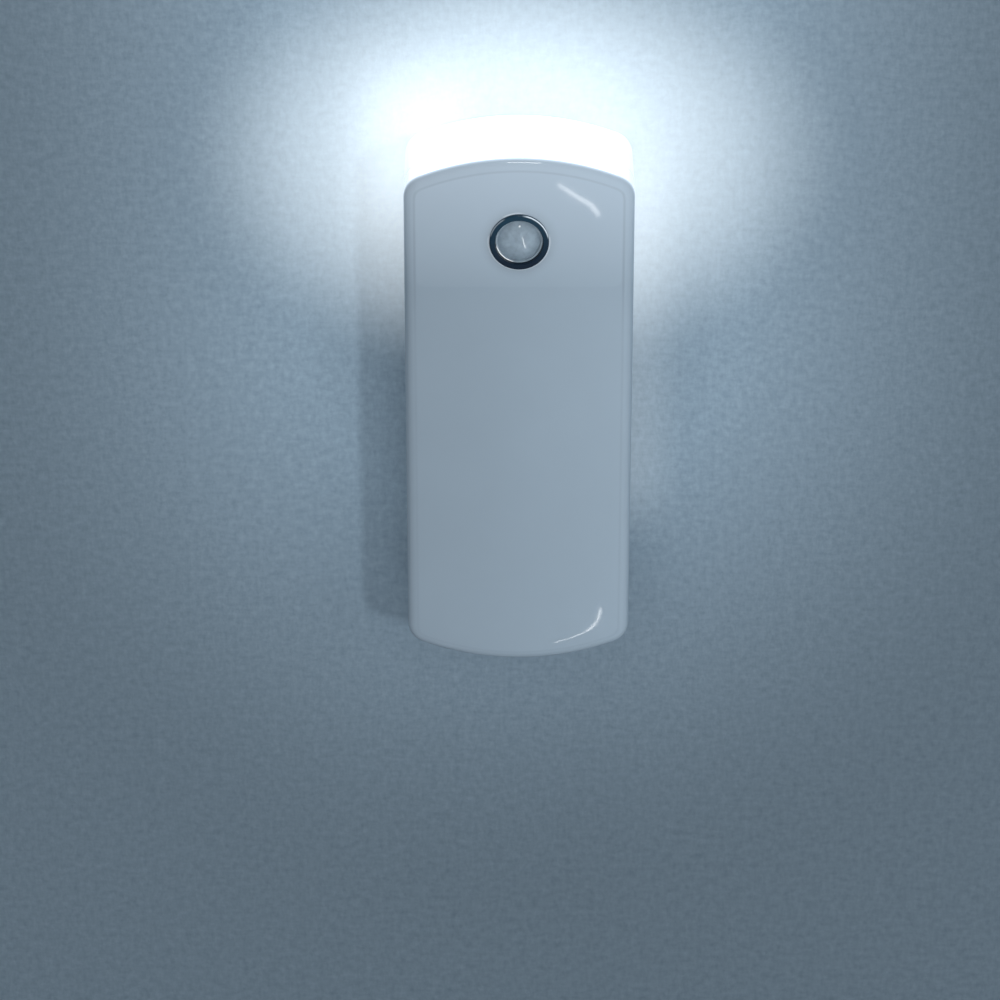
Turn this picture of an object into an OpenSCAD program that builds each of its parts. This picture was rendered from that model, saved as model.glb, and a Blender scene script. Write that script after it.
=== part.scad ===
// Plug-in wall night light with a motion sensor and a slide switch. Units are millimetres.
//
// Each piece is drawn lying on its back: x runs across the body, y along its height and z out of
// the wall. upright() then stands it up, so +Z is up, the front looks along -Y, and the face that
// rests on the outlet is the plane Y = 0. The origin is midway between the two plug blades there.

/* [Body] */
// Width of the body
body_w = 52; // [50:1:58]
// Height between the tips of the curved ends
body_h = 129; // [125:1:140]
// Depth from the wall face to the front
body_d = 28; // [27.5:0.5:31]
// Radius of the curved top and bottom ends
end_r = 60; // [56:1:80]
// Radius of the four corners seen from the front
corner_r = 5.4; // [5:0.1:5.8]
// Height of the plug centre above the bottom tip
plug_up = 55; // [53:1:60]

/* [Shells] */
// Wall thickness of both shells
wall = 1.8; // [1.6:0.1:2]
// Thickness of the housing's back wall
back_t = 2; // [1.8:0.1:2.4]
// Depth of the front cover from the joint to the front
cover_d = 10; // [9.5:0.5:11]
// Radius of the cover's rounded front edge
edge_r = 2.4; // [2:0.1:3]
// Radius of the housing's rounded back edge
back_r = 2; // [1:0.1:2.4]
// Width and depth of the shadow gap at the joint
reveal = 0.35; // [0.2:0.05:0.5]
// Thickness of the cover's locating tongue
tongue_t = 1; // [0.8:0.1:1.2]
// Length of the tongue inside the housing
tongue_l = 1.5; // [1:0.1:1.8]

/* [Light] */
// Width of the light window
window_w = 44; // [42:0.5:44.5]
// Height of the light window's back edge above the wall face
window_back = 5.4; // [5:0.1:7]
// Thickness of the window's hidden flange
window_flange_t = 0.9; // [0.7:0.1:1.1]
// Distance of the lamp floor below the top tip
lamp_down = 31; // [30:0.5:34]
// Wall thickness of the reflector
reflector_t = 0.9; // [0.7:0.1:1.1]
// Thickness of the lamp floor
floor_t = 1.2; // [1:0.1:1.5]
// Length of the lamp board
led_board_w = 41; // [40:0.5:42]
// Thickness of the lamp board
led_board_t = 1; // [0.8:0.1:1.2]
// Number of lamps
led_count = 6; // [4:1:7]
// Distance between lamps
led_pitch = 5; // [4.4:0.2:5]

/* [Sensor] */
// Distance of the sensor centre below the top tip
sensor_down = 19.5; // [19:0.5:21]
// Radius of the black ring
bezel_r = 6.9; // [6.8:0.1:7.4]
// Radius of the opening that the lens shows in
aperture_r = 5.4; // [5.2:0.1:5.5]
// Height of the ring above the cover
bezel_h = 0.8; // [0.5:0.1:1.1]
// Rise of the lens dome
dome_h = 1.4; // [1.2:0.1:1.5]
// Thickness of the lens
lens_t = 0.6; // [0.5:0.1:0.8]
// Radius of the infrared sensor's can
can_r = 4.1; // [3.9:0.1:4.2]
// Height of the infrared sensor's can
can_h = 4.2; // [4:0.1:4.6]

/* [Switch] */
// Travel of the slide switch to either side of the middle
switch_travel = 2.5; // [2:0.1:2.6]
// Length of the thumb grip
grip_l = 4.4; // [4:0.1:4.8]
// Width of the thumb grip
grip_w = 3; // [2.6:0.1:3.4]

/* [Plug] */
// Distance between the blade centres
blade_gap = 12.7; // [12.7:0.1:12.8]
// Thickness of a blade
blade_t = 1.5; // [1.4:0.05:1.65]
// Width of a blade
blade_w = 6.35; // [6.2:0.05:6.5]
// Length of a blade beyond the wall face
blade_l = 17; // [15.9:0.1:18.3]
// Width of the insulating plug base
base_w = 24; // [23:0.5:25]
// Height of the insulating plug base
base_h = 17; // [16:0.5:18]

/* [Boards] */
// Distance from the joint down to the main board's underside
board_drop = 3.6; // [3.4:0.1:4]
// Thickness of the main board
board_t = 1.6; // [1.4:0.1:1.7]
// Distance from the body's outline to the main board's edge
board_inset = 4.2; // [4:0.1:4.6]

/* [Screws] */
// Outer radius of the case screw's thread
case_screw_r = 1.3; // [1.2:0.05:1.4]
// Length of the case screw's shank
case_screw_l = 14; // [12:0.5:14.5]
// Outer radius of the small screws' thread
small_screw_r = 1.1; // [1:0.05:1.15]

/* [Hidden] */
$fn = 96;

// Colours
shell_colour = [0.64, 0.71, 0.77];
housing_colour = [0.6, 0.67, 0.73];
window_colour = [0.95, 0.97, 1];
reflector_colour = [0.93, 0.94, 0.95];
board_colour = [0.1, 0.32, 0.2];
steel_colour = [0.72, 0.73, 0.75];
brass_colour = [0.78, 0.75, 0.62];

// Clearances and overlaps
slip = 0.1; // between pieces that slide into each other
gap = 0.3; // between pieces that lie near each other
fuse = 0.5; // how far joined shapes run into each other
past = 1; // how far a cut runs past a face

// Reference heights along y
bottom_y = -plug_up;
top_y = body_h - plug_up;
mid_y = body_h / 2 - plug_up;
sensor_y = top_y - sensor_down;
lamp_y = top_y - lamp_down;

// Reference depths along z
joint_z = body_d - cover_d;
skin_z = body_d - wall;
board_z = joint_z - board_drop;
board_top = board_z + board_t;
bezel_z = body_d + bezel_h;
room_z = skin_z - board_top;

// Outline of the body, seen from the front, drawn in by an inset
min_corner = 0.2;
function corner(inset) = max(corner_r - inset, min_corner);
function corner_x(inset) = body_w / 2 - inset - corner(inset);
function corner_reach(inset) = end_r - inset - corner(inset);
function corner_drop(inset) = sqrt(pow(corner_reach(inset), 2) - pow(corner_x(inset), 2));
function corner_y(inset) = body_h / 2 - end_r + corner_drop(inset);
function end_angle(inset) = asin(corner_x(inset) / corner_reach(inset));

// Cover's tongue
tongue_gap = 0.15;

// Window and reflector
flange_lip = 0.7;
window_front = body_d - max(edge_r, wall + flange_lip + slip);
window_d = window_front - window_back;
reflector_inset = wall + window_flange_t + 2 * slip;
reflector_front = skin_z - gap;
reflector_back = back_t + gap;
reflector_cut = 1.5;
led_board_gap = 1;
led_board_z = reflector_back + reflector_t + led_board_gap;
led_board_d = board_z - 2.2 * led_board_gap - led_board_z;
led_x = 3.5;
led_z = 2.8;
led_t = 0.8;
phosphor_r = 1.15;
phosphor_t = 0.15;
led_screw_x = led_board_w / 2 - 2.4;
led_screw_l = 4;
led_head_r = 1.9;
led_head_h = 1.1;
led_boss_l = led_screw_l - led_board_t + 2 * gap;
led_boss_wall = 1;
led_wire_r = 0.6;
led_wire_x = 2.4;
led_wire_run = 4.5;
led_wire_bend = 2;
ledge_x = 10;
ledge_l = 6;
ledge_t = 1.5;
ledge_h = 7;

// Sensor stack
bezel_lip = 0.65;
barrel_r = bezel_r - bezel_lip;
barrel_t = 0.5;
step_r = barrel_r - barrel_t;
bead_t = 0.8;
bead_out = 0.3;
lens_flange_r = step_r - slip;
lens_flange_t = 0.8;
lens_drop = 1.6;
lens_bore_r = aperture_r - 1.2;
lens_z = bezel_z - lens_drop;
barrel_up = 6;
barrel_z = board_top + barrel_up;
shroud_t = 0.75;
can_flange_r = can_r + 0.5;
can_flange_t = 0.5;
pin_r = 0.22;
pin_circle_r = 2.54;
pin_angles = [45, 135, 270];
spacer_t = 1.6;
can_z = board_top + spacer_t;
filter_w = 4;
filter_h = 3;
filter_t = 0.3;

// Posts and the main board's neck
post_x = 13;
post_r = 2.5;
post_low_up = 15;
post_low_y = bottom_y + post_low_up;
post_high_drop = 12;
post_high_y = lamp_y - post_high_drop;
pilot_l = 7;
board_screw_l = 6.5;
small_head_r = 2.2;
small_head_h = 1.4;
board_up_y = lamp_y - 4;
neck_w = 16;
neck_y = sensor_y + 8;

// Plug
base_flange = 2.5;
base_flange_t = 2;
base_corner_r = 2.5;
clamp_drop = 6.4;
clamp_z = board_z - clamp_drop;
clamp_t = 1.6;
clamp_w = 10;
clamp_x = base_w / 2 + 5.5;
clamp_rim = 0.5;
clamp_screw_grip = 2.1;
clamp_screw_l = clamp_z + clamp_t - back_t - clamp_screw_grip;
shoulder_w = 9;
shoulder_z = 4.2;
tab_w = 4;
tab_l = 3.5;
tip_cut = 1.2;
tip_hole_down = 11.9;
tip_hole_r = 1.55;
wire_r = 0.8;
wire_bend = 2.2;
wire_run = 13;

// Switch, from the side wall inwards
knob_plate_t = 1.2;
knob_plate_x = body_w / 2 - wall - gap - knob_plate_t;
switch_z = board_z - 1.8;
frame_l = 2 * switch_travel + 4.6;
frame_w = 4.4;
frame_t = 3.6;
frame_wall = 0.5;
frame_x = knob_plate_x - frame_w - 1.3;
shoe_l = 3.4;
lever_w = 1.6;
lever_h = 1.4;
lever_grip = 0.8;
slot_l = grip_l + 2 * switch_travel + 2 * gap;
slot_w = grip_w + 2 * gap;
knob_plate_l = slot_l + 2 * switch_travel + 1;
knob_plate_w = 6;
scoop_l = slot_l + 5;
scoop_w = slot_w + 2.4;
scoop_t = 0.8;
grip_sink = 0.3;
groove_r = 0.35;
groove_pitch = 1.2;

// Case screws and their bosses
head_r = 2.3;
head_h = 1.5;
head_seat = 2.4;
sink_r = head_r + gap;
housing_boss_r = sink_r + 1;
cover_boss_r = case_screw_r + 1.6;
boss_x = knob_plate_x - slip - housing_boss_r;
boss_low_up = 10;
boss_low_y = bottom_y + boss_low_up;
boss_high_drop = 7.5;
boss_high_y = lamp_y - boss_high_drop;
boss_split = board_z - 4.4;
pilot_z = head_seat + case_screw_l + gap;

// The switch lies midway between the clamp's posts and the upper case screws
switch_y = (boss_high_y - housing_boss_r + post_r) / 2;

// Bare panel in the back
panel_up = 26;
panel_w = 28;
panel_h = 18;
panel_r = 2;
panel_t = 0.3;

// Parts on the board
part_air = 1.7;
film_x = -7;
film_up = 31;
film_y = bottom_y + film_up;
film_w = 12;
film_l = 20;
film_h = room_z - part_air;
film_lead_y = 7.5;
electro_x = 8.5;
electro_r = (room_z - part_air - 0.5) / 2;
electro_l = 14;
electro_lead_x = 1.75;
crimp_up = 1.5;
crimp_r = 0.3;
vent_rim = 0.8;
resistor_y = post_low_y - 2;
resistor_l = 9;
resistor_r = 1.7;
resistor_lead_x = 6.2;
lead_r = 0.35;
cell_y = post_high_y - 2;
cell_r = 2.5;
cell_w = 4.3;
cell_t = 2;
cell_up = 4.6;
cell_lead_x = 1.7;
group_y = (film_y + film_l / 2 + post_high_y) / 2;
bridge_x = 10;
bridge_drop = 14;
bridge_y = group_y - bridge_drop;
bridge_w = 8.3;
bridge_h = 6.4;
chip_x = -8;
chip_drop = 4.5;
chip_y = group_y - chip_drop;
chip_w = 3.9;
chip_l = 10;
chip_pitch = 1.27;
small_l = 2;
small_w = 1.25;
small_t = 0.55;
small_spots = [
    [-15, -10], [-15, -6], [-15, -2], [-15, 2],
    [-1, -8], [-1, -4], [-1, 0], [-1, 4],
    [6, 0], [10, 0], [14, 0], [6, 5],
    [10, 5], [-8, 6], [-12, 10], [-6, 10]
];
solder_r = 1.1;
solder_t = 1;
electro_lead_y = film_y - electro_l / 2 + 1;
joint_spots = [
    [film_x, film_y - film_lead_y],
    [film_x, film_y + film_lead_y],
    [electro_x - electro_lead_x, electro_lead_y],
    [electro_x + electro_lead_x, electro_lead_y],
    [-resistor_lead_x, resistor_y],
    [resistor_lead_x, resistor_y],
    [-cell_lead_x, cell_y],
    [cell_lead_x, cell_y]
];

// ---------------------------------------------------------------- shared shapes

module upright() {
    rotate([90, 0, 0])
        children();
}

// Both signs of x
module both_sides() {
    for (side = [0, 1])
        mirror([side, 0, 0])
            children();
}

// The body's outline seen from the front, drawn in by inset
module outline(inset) {
    reach = end_r - inset;
    turn = end_angle(inset);
    translate([0, mid_y])
        for (end = [0, 1])
            mirror([0, end]) {
                translate([-body_w / 2 + inset, -past])
                    square([body_w - 2 * inset, corner_y(inset) + past]);
                translate([0, body_h / 2 - end_r])
                    intersection() {
                        circle(reach);
                        scale(2 * reach)
                            polygon([[0, 0], [-sin(turn), cos(turn)], [sin(turn), cos(turn)]]);
                    }
                both_sides()
                    translate([corner_x(inset), corner_y(inset)])
                        circle(corner(inset));
            }
}

// The outline as a plain slab from z0 to z1
module slab(inset, z0, z1) {
    translate([0, 0, z0])
        linear_extrude(z1 - z0)
            outline(inset);
}

// What a rounding of radius r takes off a square corner at the origin
module edge_cut(r) {
    translate([-r, -r])
        difference() {
            square(r + past);
            circle(r);
        }
}

// Cuts that round the body's outer edge at the height z, for the front or else for the back
module round_edge(r, z, front) {
    sweep = 80;
    translate([0, mid_y, z])
        mirror([0, 0, front ? 0 : 1]) {
            both_sides()
                translate([body_w / 2, 0, 0])
                    rotate([90, 0, 0])
                        linear_extrude(body_h + 2 * past, center = true)
                            edge_cut(r);
            for (end = [0, 1])
                mirror([0, end, 0])
                    translate([0, body_h / 2 - end_r, 0])
                        rotate([0, 0, 90 - sweep / 2])
                            rotate_extrude(angle = sweep)
                                translate([end_r, 0])
                                    edge_cut(r);
        }
}

// A box that keeps everything between y0 and y1
module band(y0, y1) {
    translate([-body_w, y0, -body_d])
        cube([2 * body_w, y1 - y0, 4 * body_d]);
}

// A flat rectangle with round corners
module rounded_rect(w, h, r) {
    square([w, h - 2 * r], center = true);
    square([w - 2 * r, h], center = true);
    for (x = [-1, 1], y = [-1, 1])
        translate([x * (w / 2 - r), y * (h / 2 - r)])
            circle(r);
}

module rounded_block(w, h, r, z0, z1) {
    translate([0, 0, z0])
        linear_extrude(z1 - z0)
            rounded_rect(w, h, r);
}

module disc(r, z0, z1) {
    translate([0, 0, z0])
        cylinder(h = z1 - z0, r = r);
}

module block(w, h, z0, z1) {
    translate([-w / 2, -h / 2, z0])
        cube([w, h, z1 - z0]);
}

// The four places of the case screws
module at_case_screws() {
    for (x = [-1, 1], y = [boss_low_y, boss_high_y])
        translate([x * boss_x, y, 0])
            children();
}

// The four places of the main board's posts
module at_posts() {
    for (x = [-1, 1], y = [post_low_y, post_high_y])
        translate([x * post_x, y, 0])
            children();
}

module at_sensor() {
    translate([0, sensor_y, 0])
        children();
}

// A pan-head screw that points along -z, with its head standing on z = 0
module screw(r, l, head, height) {
    pitch = r * 0.75;
    core = r * 0.75;
    turns = floor((l - 2 * pitch) / pitch);
    flanks = [
        for (k = [0:turns - 1])
            each [[core, -pitch * (k + 0.5)], [r, -pitch * (k + 1)]]
    ];
    end = -pitch * (turns + 0.5);
    difference() {
        union() {
            rotate_extrude()
                polygon(concat([[0, fuse], [core, fuse]], flanks, [[core, end], [0, -l]]));
            rotate_extrude()
                intersection() {
                    translate([0, height - 2 * head])
                        circle(2 * head);
                    square([head, height]);
                }
        }
        for (turn = [0, 90])
            rotate([0, 0, turn])
                block(head * 1.2, head * 0.28, height * 0.45, height + past);
    }
}

// A round wire that runs along -y from the origin, bends, and rises to the height of rise
module bent_wire(r, run, bend, rise) {
    rotate([90, 0, 0])
        cylinder(h = run, r = r);
    translate([0, -run, bend])
        rotate([0, 90, 180])
            rotate_extrude(angle = 90)
                translate([bend, 0])
                    circle(r);
    translate([0, -run - bend, bend])
        cylinder(h = rise - bend, r = r);
}

// ---------------------------------------------------------------- shells

// The window's opening in the top wall, made larger all round by grow
module window_opening(grow) {
    translate([-window_w / 2 - grow, lamp_y, window_back - grow])
        cube([window_w + 2 * grow, lamp_down + past, window_d + 2 * grow]);
}

module rear_housing() {
    color(housing_colour)
        upright()
            difference() {
                union() {
                    difference() {
                        union() {
                            slab(0, 0, joint_z - reveal);
                            slab(reveal, joint_z - 2 * reveal, joint_z);
                        }
                        slab(wall, back_t, joint_z + past);
                        round_edge(back_r, 0, false);
                    }
                    at_case_screws()
                        disc(housing_boss_r, back_t - fuse, boss_split - slip);
                    at_posts()
                        disc(post_r, back_t - fuse, board_z);
                    both_sides()
                        translate([clamp_x, 0, 0])
                            disc(post_r, back_t - fuse, clamp_z);
                    reflector_ledges();
                }
                at_case_screws() {
                    disc(sink_r, -past, head_seat);
                    disc(case_screw_r + slip, 0, boss_split + past);
                }
                at_posts()
                    disc(small_screw_r, board_z - pilot_l, board_z + past);
                both_sides()
                    translate([clamp_x, 0, 0])
                        disc(small_screw_r, back_t, clamp_z + past);
                rounded_block(base_w + 2 * slip, base_h + 2 * slip, base_corner_r, -past, back_t + past);
                window_opening(0);
                switch_cut();
                label_recess();
            }
}

// Two ribs that the lamp floor stands on
module reflector_ledges() {
    both_sides()
        translate([ledge_x, lamp_y - floor_t - slip - ledge_l, back_t - fuse])
            cube([ledge_t, ledge_l, ledge_h]);
}

// The slot of the switch and the thumb scoop round it, in the right-hand wall
module switch_cut() {
    translate([body_w / 2, switch_y, switch_z])
        rotate([0, 90, 0]) {
            rounded_block(slot_w, slot_l, 1, -wall - past, past);
            rounded_block(scoop_w, scoop_l, scoop_w / 2 - slip, -scoop_t, past);
        }
}

// A shallow bare panel on the back, below the plug
module label_recess() {
    translate([0, bottom_y + panel_up, 0])
        rounded_block(panel_w, panel_h, panel_r, -past, panel_t);
}

module front_cover() {
    inner = wall + tongue_gap + tongue_t;
    color(shell_colour)
        upright()
            difference() {
                union() {
                    difference() {
                        slab(0, joint_z, body_d);
                        slab(wall, joint_z - past, skin_z);
                        round_edge(edge_r, body_d, true);
                    }
                    intersection() {
                        difference() {
                            union() {
                                slab(wall + tongue_gap, joint_z - tongue_l, joint_z + fuse);
                                slab(wall - fuse, joint_z, joint_z + tongue_t);
                            }
                            slab(inner, joint_z - tongue_l - past, joint_z + 2 * tongue_t);
                        }
                        band(bottom_y, lamp_y - 3);
                    }
                    at_case_screws()
                        disc(cover_boss_r, boss_split, skin_z + fuse);
                }
                at_case_screws()
                    disc(case_screw_r, boss_split - past, pilot_z);
                at_sensor()
                    disc(barrel_r + slip, skin_z - past, body_d + past);
                window_opening(0);
            }
}

// ---------------------------------------------------------------- light

module top_window() {
    flange_inset = wall + slip;
    back_z = window_back - 2 * flange_lip;
    front_z = body_d - flange_lip;
    color(window_colour)
        upright() {
            intersection() {
                difference() {
                    slab(0, back_z, front_z);
                    window_bore(flange_inset + window_flange_t / 2);
                }
                window_opening(-slip);
            }
            intersection() {
                difference() {
                    slab(flange_inset, back_z, front_z);
                    window_bore(flange_inset + window_flange_t);
                }
                window_opening(flange_lip);
            }
        }
}

// The round inner face of the window's bent plate, at a depth under the top wall
module window_bore(depth) {
    translate([0, top_y - end_r, 0])
        disc(end_r - depth, -past, body_d + past);
}

module light_reflector() {
    inner = reflector_inset + reflector_t;
    color(reflector_colour)
        upright()
            difference() {
                union() {
                    intersection() {
                        difference() {
                            slab(reflector_inset, reflector_back, reflector_front);
                            intersection() {
                                slab(inner, reflector_back + reflector_t, body_d + past);
                                band(lamp_y, top_y);
                            }
                        }
                        band(lamp_y - floor_t, top_y);
                    }
                    at_led_screws()
                        led_boss();
                }
                window_opening(-reflector_cut);
                board_slot();
                both_sides()
                    translate([led_wire_x, 0, led_wire_z()])
                        rotate([-90, 0, 0])
                            cylinder(h = lamp_y + past, r = led_wire_r + gap);
                at_led_screws()
                    rotate([-90, 0, 0])
                        disc(small_screw_r, -led_boss_l, past);
            }
}

function led_wire_z() = led_board_z + led_board_d / 2;

// Both ends of the lamp board, on the lamp floor
module at_led_screws() {
    both_sides()
        translate([led_screw_x, lamp_y, led_wire_z()])
            children();
}

module led_boss() {
    rotate([90, 0, 0])
        cylinder(h = led_boss_l, r = small_screw_r + led_boss_wall);
}

// The slot in the lamp floor that the neck of the main board passes through
module board_slot() {
    translate([-neck_w / 2 - gap, lamp_y - floor_t - past, board_z - gap])
        cube([neck_w + 2 * gap, floor_t + 2 * past, board_t + 2 * gap]);
}

module led_board() {
    color("white")
        upright()
            difference() {
                translate([-led_board_w / 2, lamp_y, led_board_z])
                    cube([led_board_w, led_board_t, led_board_d]);
                at_led_screws()
                    rotate([-90, 0, 0])
                        disc(small_screw_r + slip, -past, led_board_t + past);
            }
}

// The place of each lamp, on the upper face of the lamp board, with z pointing up the wall
module at_leds() {
    for (k = [0:led_count - 1])
        translate([(k - (led_count - 1) / 2) * led_pitch, lamp_y + led_board_t, led_wire_z()])
            rotate([-90, 0, 0])
                children();
}

module led_bodies() {
    color("ivory")
        upright()
            at_leds()
                difference() {
                    block(led_x, led_z, 0, led_t);
                    disc(phosphor_r, led_t - phosphor_t, led_t + past);
                }
}

module led_phosphors() {
    color("gold")
        upright()
            at_leds()
                disc(phosphor_r, led_t - phosphor_t, led_t);
}

module led_screws() {
    color(steel_colour)
        upright()
            at_led_screws()
                translate([0, led_board_t, 0])
                    rotate([-90, 0, 0])
                        screw(small_screw_r, led_screw_l, led_head_r, led_head_h);
}

module led_wire(side) {
    upright()
        translate([side * led_wire_x, lamp_y, led_wire_z()])
            bent_wire(led_wire_r, led_wire_run, led_wire_bend, board_z - led_wire_z());
}

module led_wire_red() {
    color("firebrick")
        led_wire(1);
}

module led_wire_black() {
    color([0.1, 0.1, 0.1])
        led_wire(-1);
}

// ---------------------------------------------------------------- sensor

module sensor_bezel() {
    color([0.03, 0.05, 0.08])
        upright()
            at_sensor()
                rotate_extrude()
                    difference() {
                        union() {
                            translate([0, body_d])
                                square([bezel_r - bezel_h / 2, bezel_h]);
                            translate([0, body_d])
                                square([bezel_r, bezel_h / 2]);
                            translate([bezel_r - bezel_h / 2, body_d + bezel_h / 2])
                                circle(bezel_h / 2);
                            translate([0, barrel_z])
                                square([barrel_r, body_d - barrel_z + fuse / 2]);
                            translate([0, skin_z - slip - bead_t])
                                square([barrel_r + bead_out, bead_t]);
                        }
                        translate([-past, barrel_z - past])
                            square([aperture_r + past, bezel_z]);
                        translate([-past, barrel_z - past])
                            square([step_r + past, lens_z - barrel_z + past]);
                    }
}

module sensor_lens() {
    sphere_r = (pow(aperture_r - slip, 2) + pow(dome_h, 2)) / (2 * dome_h);
    centre_z = lens_z + dome_h - sphere_r;
    color([0.72, 0.77, 0.8])
        upright()
            at_sensor()
                rotate_extrude()
                    difference() {
                        union() {
                            translate([0, lens_z - lens_flange_t])
                                square([lens_flange_r, lens_flange_t]);
                            intersection() {
                                translate([0, centre_z])
                                    circle(sphere_r);
                                translate([0, lens_z])
                                    square([aperture_r - slip, dome_h]);
                            }
                        }
                        translate([-past, -past])
                            square([past, 2 * body_d]);
                        intersection() {
                            translate([0, centre_z])
                                circle(sphere_r - lens_t);
                            translate([0, lens_z - past])
                                square([lens_bore_r, dome_h + past]);
                        }
                        translate([0, lens_z - lens_flange_t - past])
                            square([lens_bore_r, past + fuse]);
                    }
}

// The sleeve that holds the lens up and keeps lamp light off the sensor
module sensor_shroud() {
    outer = lens_flange_r;
    color([0.12, 0.13, 0.14])
        upright()
            at_sensor()
                difference() {
                    disc(outer, board_top, lens_z - lens_flange_t);
                    disc(outer - shroud_t, board_top - past, lens_z);
                }
}

// The three leads of the infrared sensor
module at_pins() {
    for (turn = pin_angles)
        rotate([0, 0, turn])
            translate([pin_circle_r, 0, 0])
                children();
}

module pir_can() {
    color(steel_colour)
        upright()
            at_sensor() {
                difference() {
                    union() {
                        disc(can_flange_r, can_z, can_z + can_flange_t);
                        disc(can_r, can_z, can_z + can_h);
                    }
                    block(filter_w, filter_h, can_z + can_h - filter_t, can_z + can_h + past);
                }
                at_pins()
                    disc(pin_r, board_top, can_z);
            }
}

module pir_filter() {
    color([0.15, 0.1, 0.16])
        upright()
            at_sensor()
                block(filter_w, filter_h, can_z + can_h - filter_t, can_z + can_h);
}

module pir_spacer() {
    color("whitesmoke")
        upright()
            at_sensor()
                difference() {
                    disc(can_flange_r, board_top, can_z);
                    at_pins()
                        disc(pin_r + slip, board_top - past, can_z + past);
                }
}

// ---------------------------------------------------------------- main board and its parts

module main_board() {
    color(board_colour)
        upright()
            difference() {
                union() {
                    intersection() {
                        slab(board_inset, board_z, board_top);
                        band(bottom_y, board_up_y);
                    }
                    translate([-neck_w / 2, 0, board_z])
                        cube([neck_w, neck_y, board_t]);
                }
                both_sides() {
                    corner_notch(boss_high_y, 1);
                    corner_notch(boss_low_y, -1);
                }
                at_posts()
                    disc(small_screw_r + slip, board_z - past, board_top + past);
            }
}

// A cut in the board's corner round the case screw at height y, open towards the end of the body
module corner_notch(y, end) {
    reach = cover_boss_r + gap;
    translate([boss_x, y, board_z - past])
        linear_extrude(board_t + 2 * past) {
            circle(reach);
            translate([-reach, end > 0 ? 0 : -wall - boss_x])
                square([boss_x, boss_x + wall]);
            translate([0, -reach])
                square([boss_x, 2 * reach]);
        }
}

module board_screws() {
    color(steel_colour)
        upright()
            at_posts()
                translate([0, 0, board_top])
                    screw(small_screw_r, board_screw_l, small_head_r, small_head_h);
}

// A part's place on the front of the board
module on_board(x, y) {
    translate([x, y, board_top])
        children();
}

module film_capacitor() {
    color([0.85, 0.72, 0.2])
        upright()
            on_board(film_x, film_y)
                rounded_block(film_w, film_l, 0.8, 0, film_h);
}

module electrolytic_capacitor() {
    color([0.12, 0.14, 0.3])
        upright()
            on_board(electro_x, film_y)
                translate([0, electro_l / 2, electro_r])
                    rotate([90, 0, 0])
                        difference() {
                            cylinder(h = electro_l, r = electro_r);
                            translate([0, 0, electro_l - crimp_r])
                                cylinder(h = past, r = electro_r - vent_rim);
                            translate([0, 0, crimp_up])
                                rotate_extrude()
                                    translate([electro_r, 0])
                                        circle(crimp_r);
                        }
}

module bridge_rectifier() {
    body_t = 2.8;
    leg = [1.2, 1.8, 0.4];
    color([0.1, 0.1, 0.11])
        upright()
            on_board(bridge_x, bridge_y) {
                block(bridge_w, bridge_h, leg[2] / 2, body_t);
                for (x = [-1, 1], y = [-1, 1])
                    translate([x * bridge_w * 0.3, y * (bridge_h + leg[1] / 2) / 2, 0])
                        block(leg[0], leg[1], 0, leg[2]);
            }
}

module fusible_resistor() {
    up = resistor_r + lead_r / 2;
    color([0.35, 0.5, 0.42])
        upright()
            on_board(0, resistor_y)
                translate([0, 0, up]) {
                    rotate([0, 90, 0]) {
                        cylinder(h = resistor_l, r = resistor_r, center = true);
                        cylinder(h = 2 * (resistor_lead_x + lead_r), r = lead_r, center = true);
                    }
                    both_sides()
                        translate([resistor_lead_x, 0, -up])
                            cylinder(h = up, r = lead_r);
                }
}

module control_chip() {
    body_t = 1.65;
    leg = [1.3, 0.42, 0.3];
    color([0.08, 0.08, 0.09])
        upright()
            on_board(chip_x, chip_y) {
                block(chip_w, chip_l, leg[2] / 2, body_t);
                for (x = [-1, 1], k = [0:7])
                    translate([x * (chip_w + leg[0] - slip) / 2, (k - 3.5) * chip_pitch, 0])
                        block(leg[0], leg[1], 0, leg[2]);
            }
}

module chip_parts() {
    color([0.25, 0.22, 0.2])
        upright()
            for (spot = small_spots)
                on_board(spot[0], group_y + spot[1])
                    block(small_l, small_w, 0, small_t);
}

module light_sensor() {
    color([0.8, 0.45, 0.3])
        upright()
            on_board(0, cell_y) {
                intersection() {
                    disc(cell_r, cell_up, cell_up + cell_t);
                    block(cell_w, 2 * cell_r, 0, cell_up + cell_t);
                }
                both_sides()
                    translate([cell_lead_x, 0, 0])
                        disc(lead_r, 0, cell_up);
            }
}

// Cones of solder under the board, where leads come through
module solder_joints() {
    color("silver")
        upright()
            for (spot = joint_spots)
                translate([spot[0], spot[1], board_z - solder_t])
                    cylinder(h = solder_t, r1 = lead_r, r2 = solder_r);
}

// ---------------------------------------------------------------- switch

module at_switch() {
    translate([0, switch_y, switch_z])
        children();
}

// A box that starts at x = 0 and is centred on the other axes
module box_at(w, l, t) {
    translate([0, -l / 2, -t / 2])
        cube([w, l, t]);
}

module switch_frame() {
    space = 2 * frame_wall;
    color(steel_colour)
        upright()
            at_switch()
                difference() {
                    translate([frame_x, 0, 0])
                        box_at(frame_w, frame_l, frame_t);
                    translate([frame_x + frame_wall, 0, 0])
                        box_at(frame_w - space, frame_l - space, frame_t - space);
                    translate([frame_x + frame_w - past, 0, 0])
                        box_at(2 * past, frame_l - 2 * space, lever_h + 2 * slip);
                }
}

module switch_slider() {
    inset = frame_wall + slip;
    lever_x = frame_x + frame_w / 2;
    color([0.1, 0.1, 0.1])
        upright()
            at_switch() {
                translate([frame_x + inset, 0, 0])
                    box_at(frame_w - 2 * inset, shoe_l, frame_t - 2 * inset);
                translate([lever_x, 0, 0])
                    box_at(knob_plate_x + lever_grip - lever_x, lever_w, lever_h);
            }
}

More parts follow.
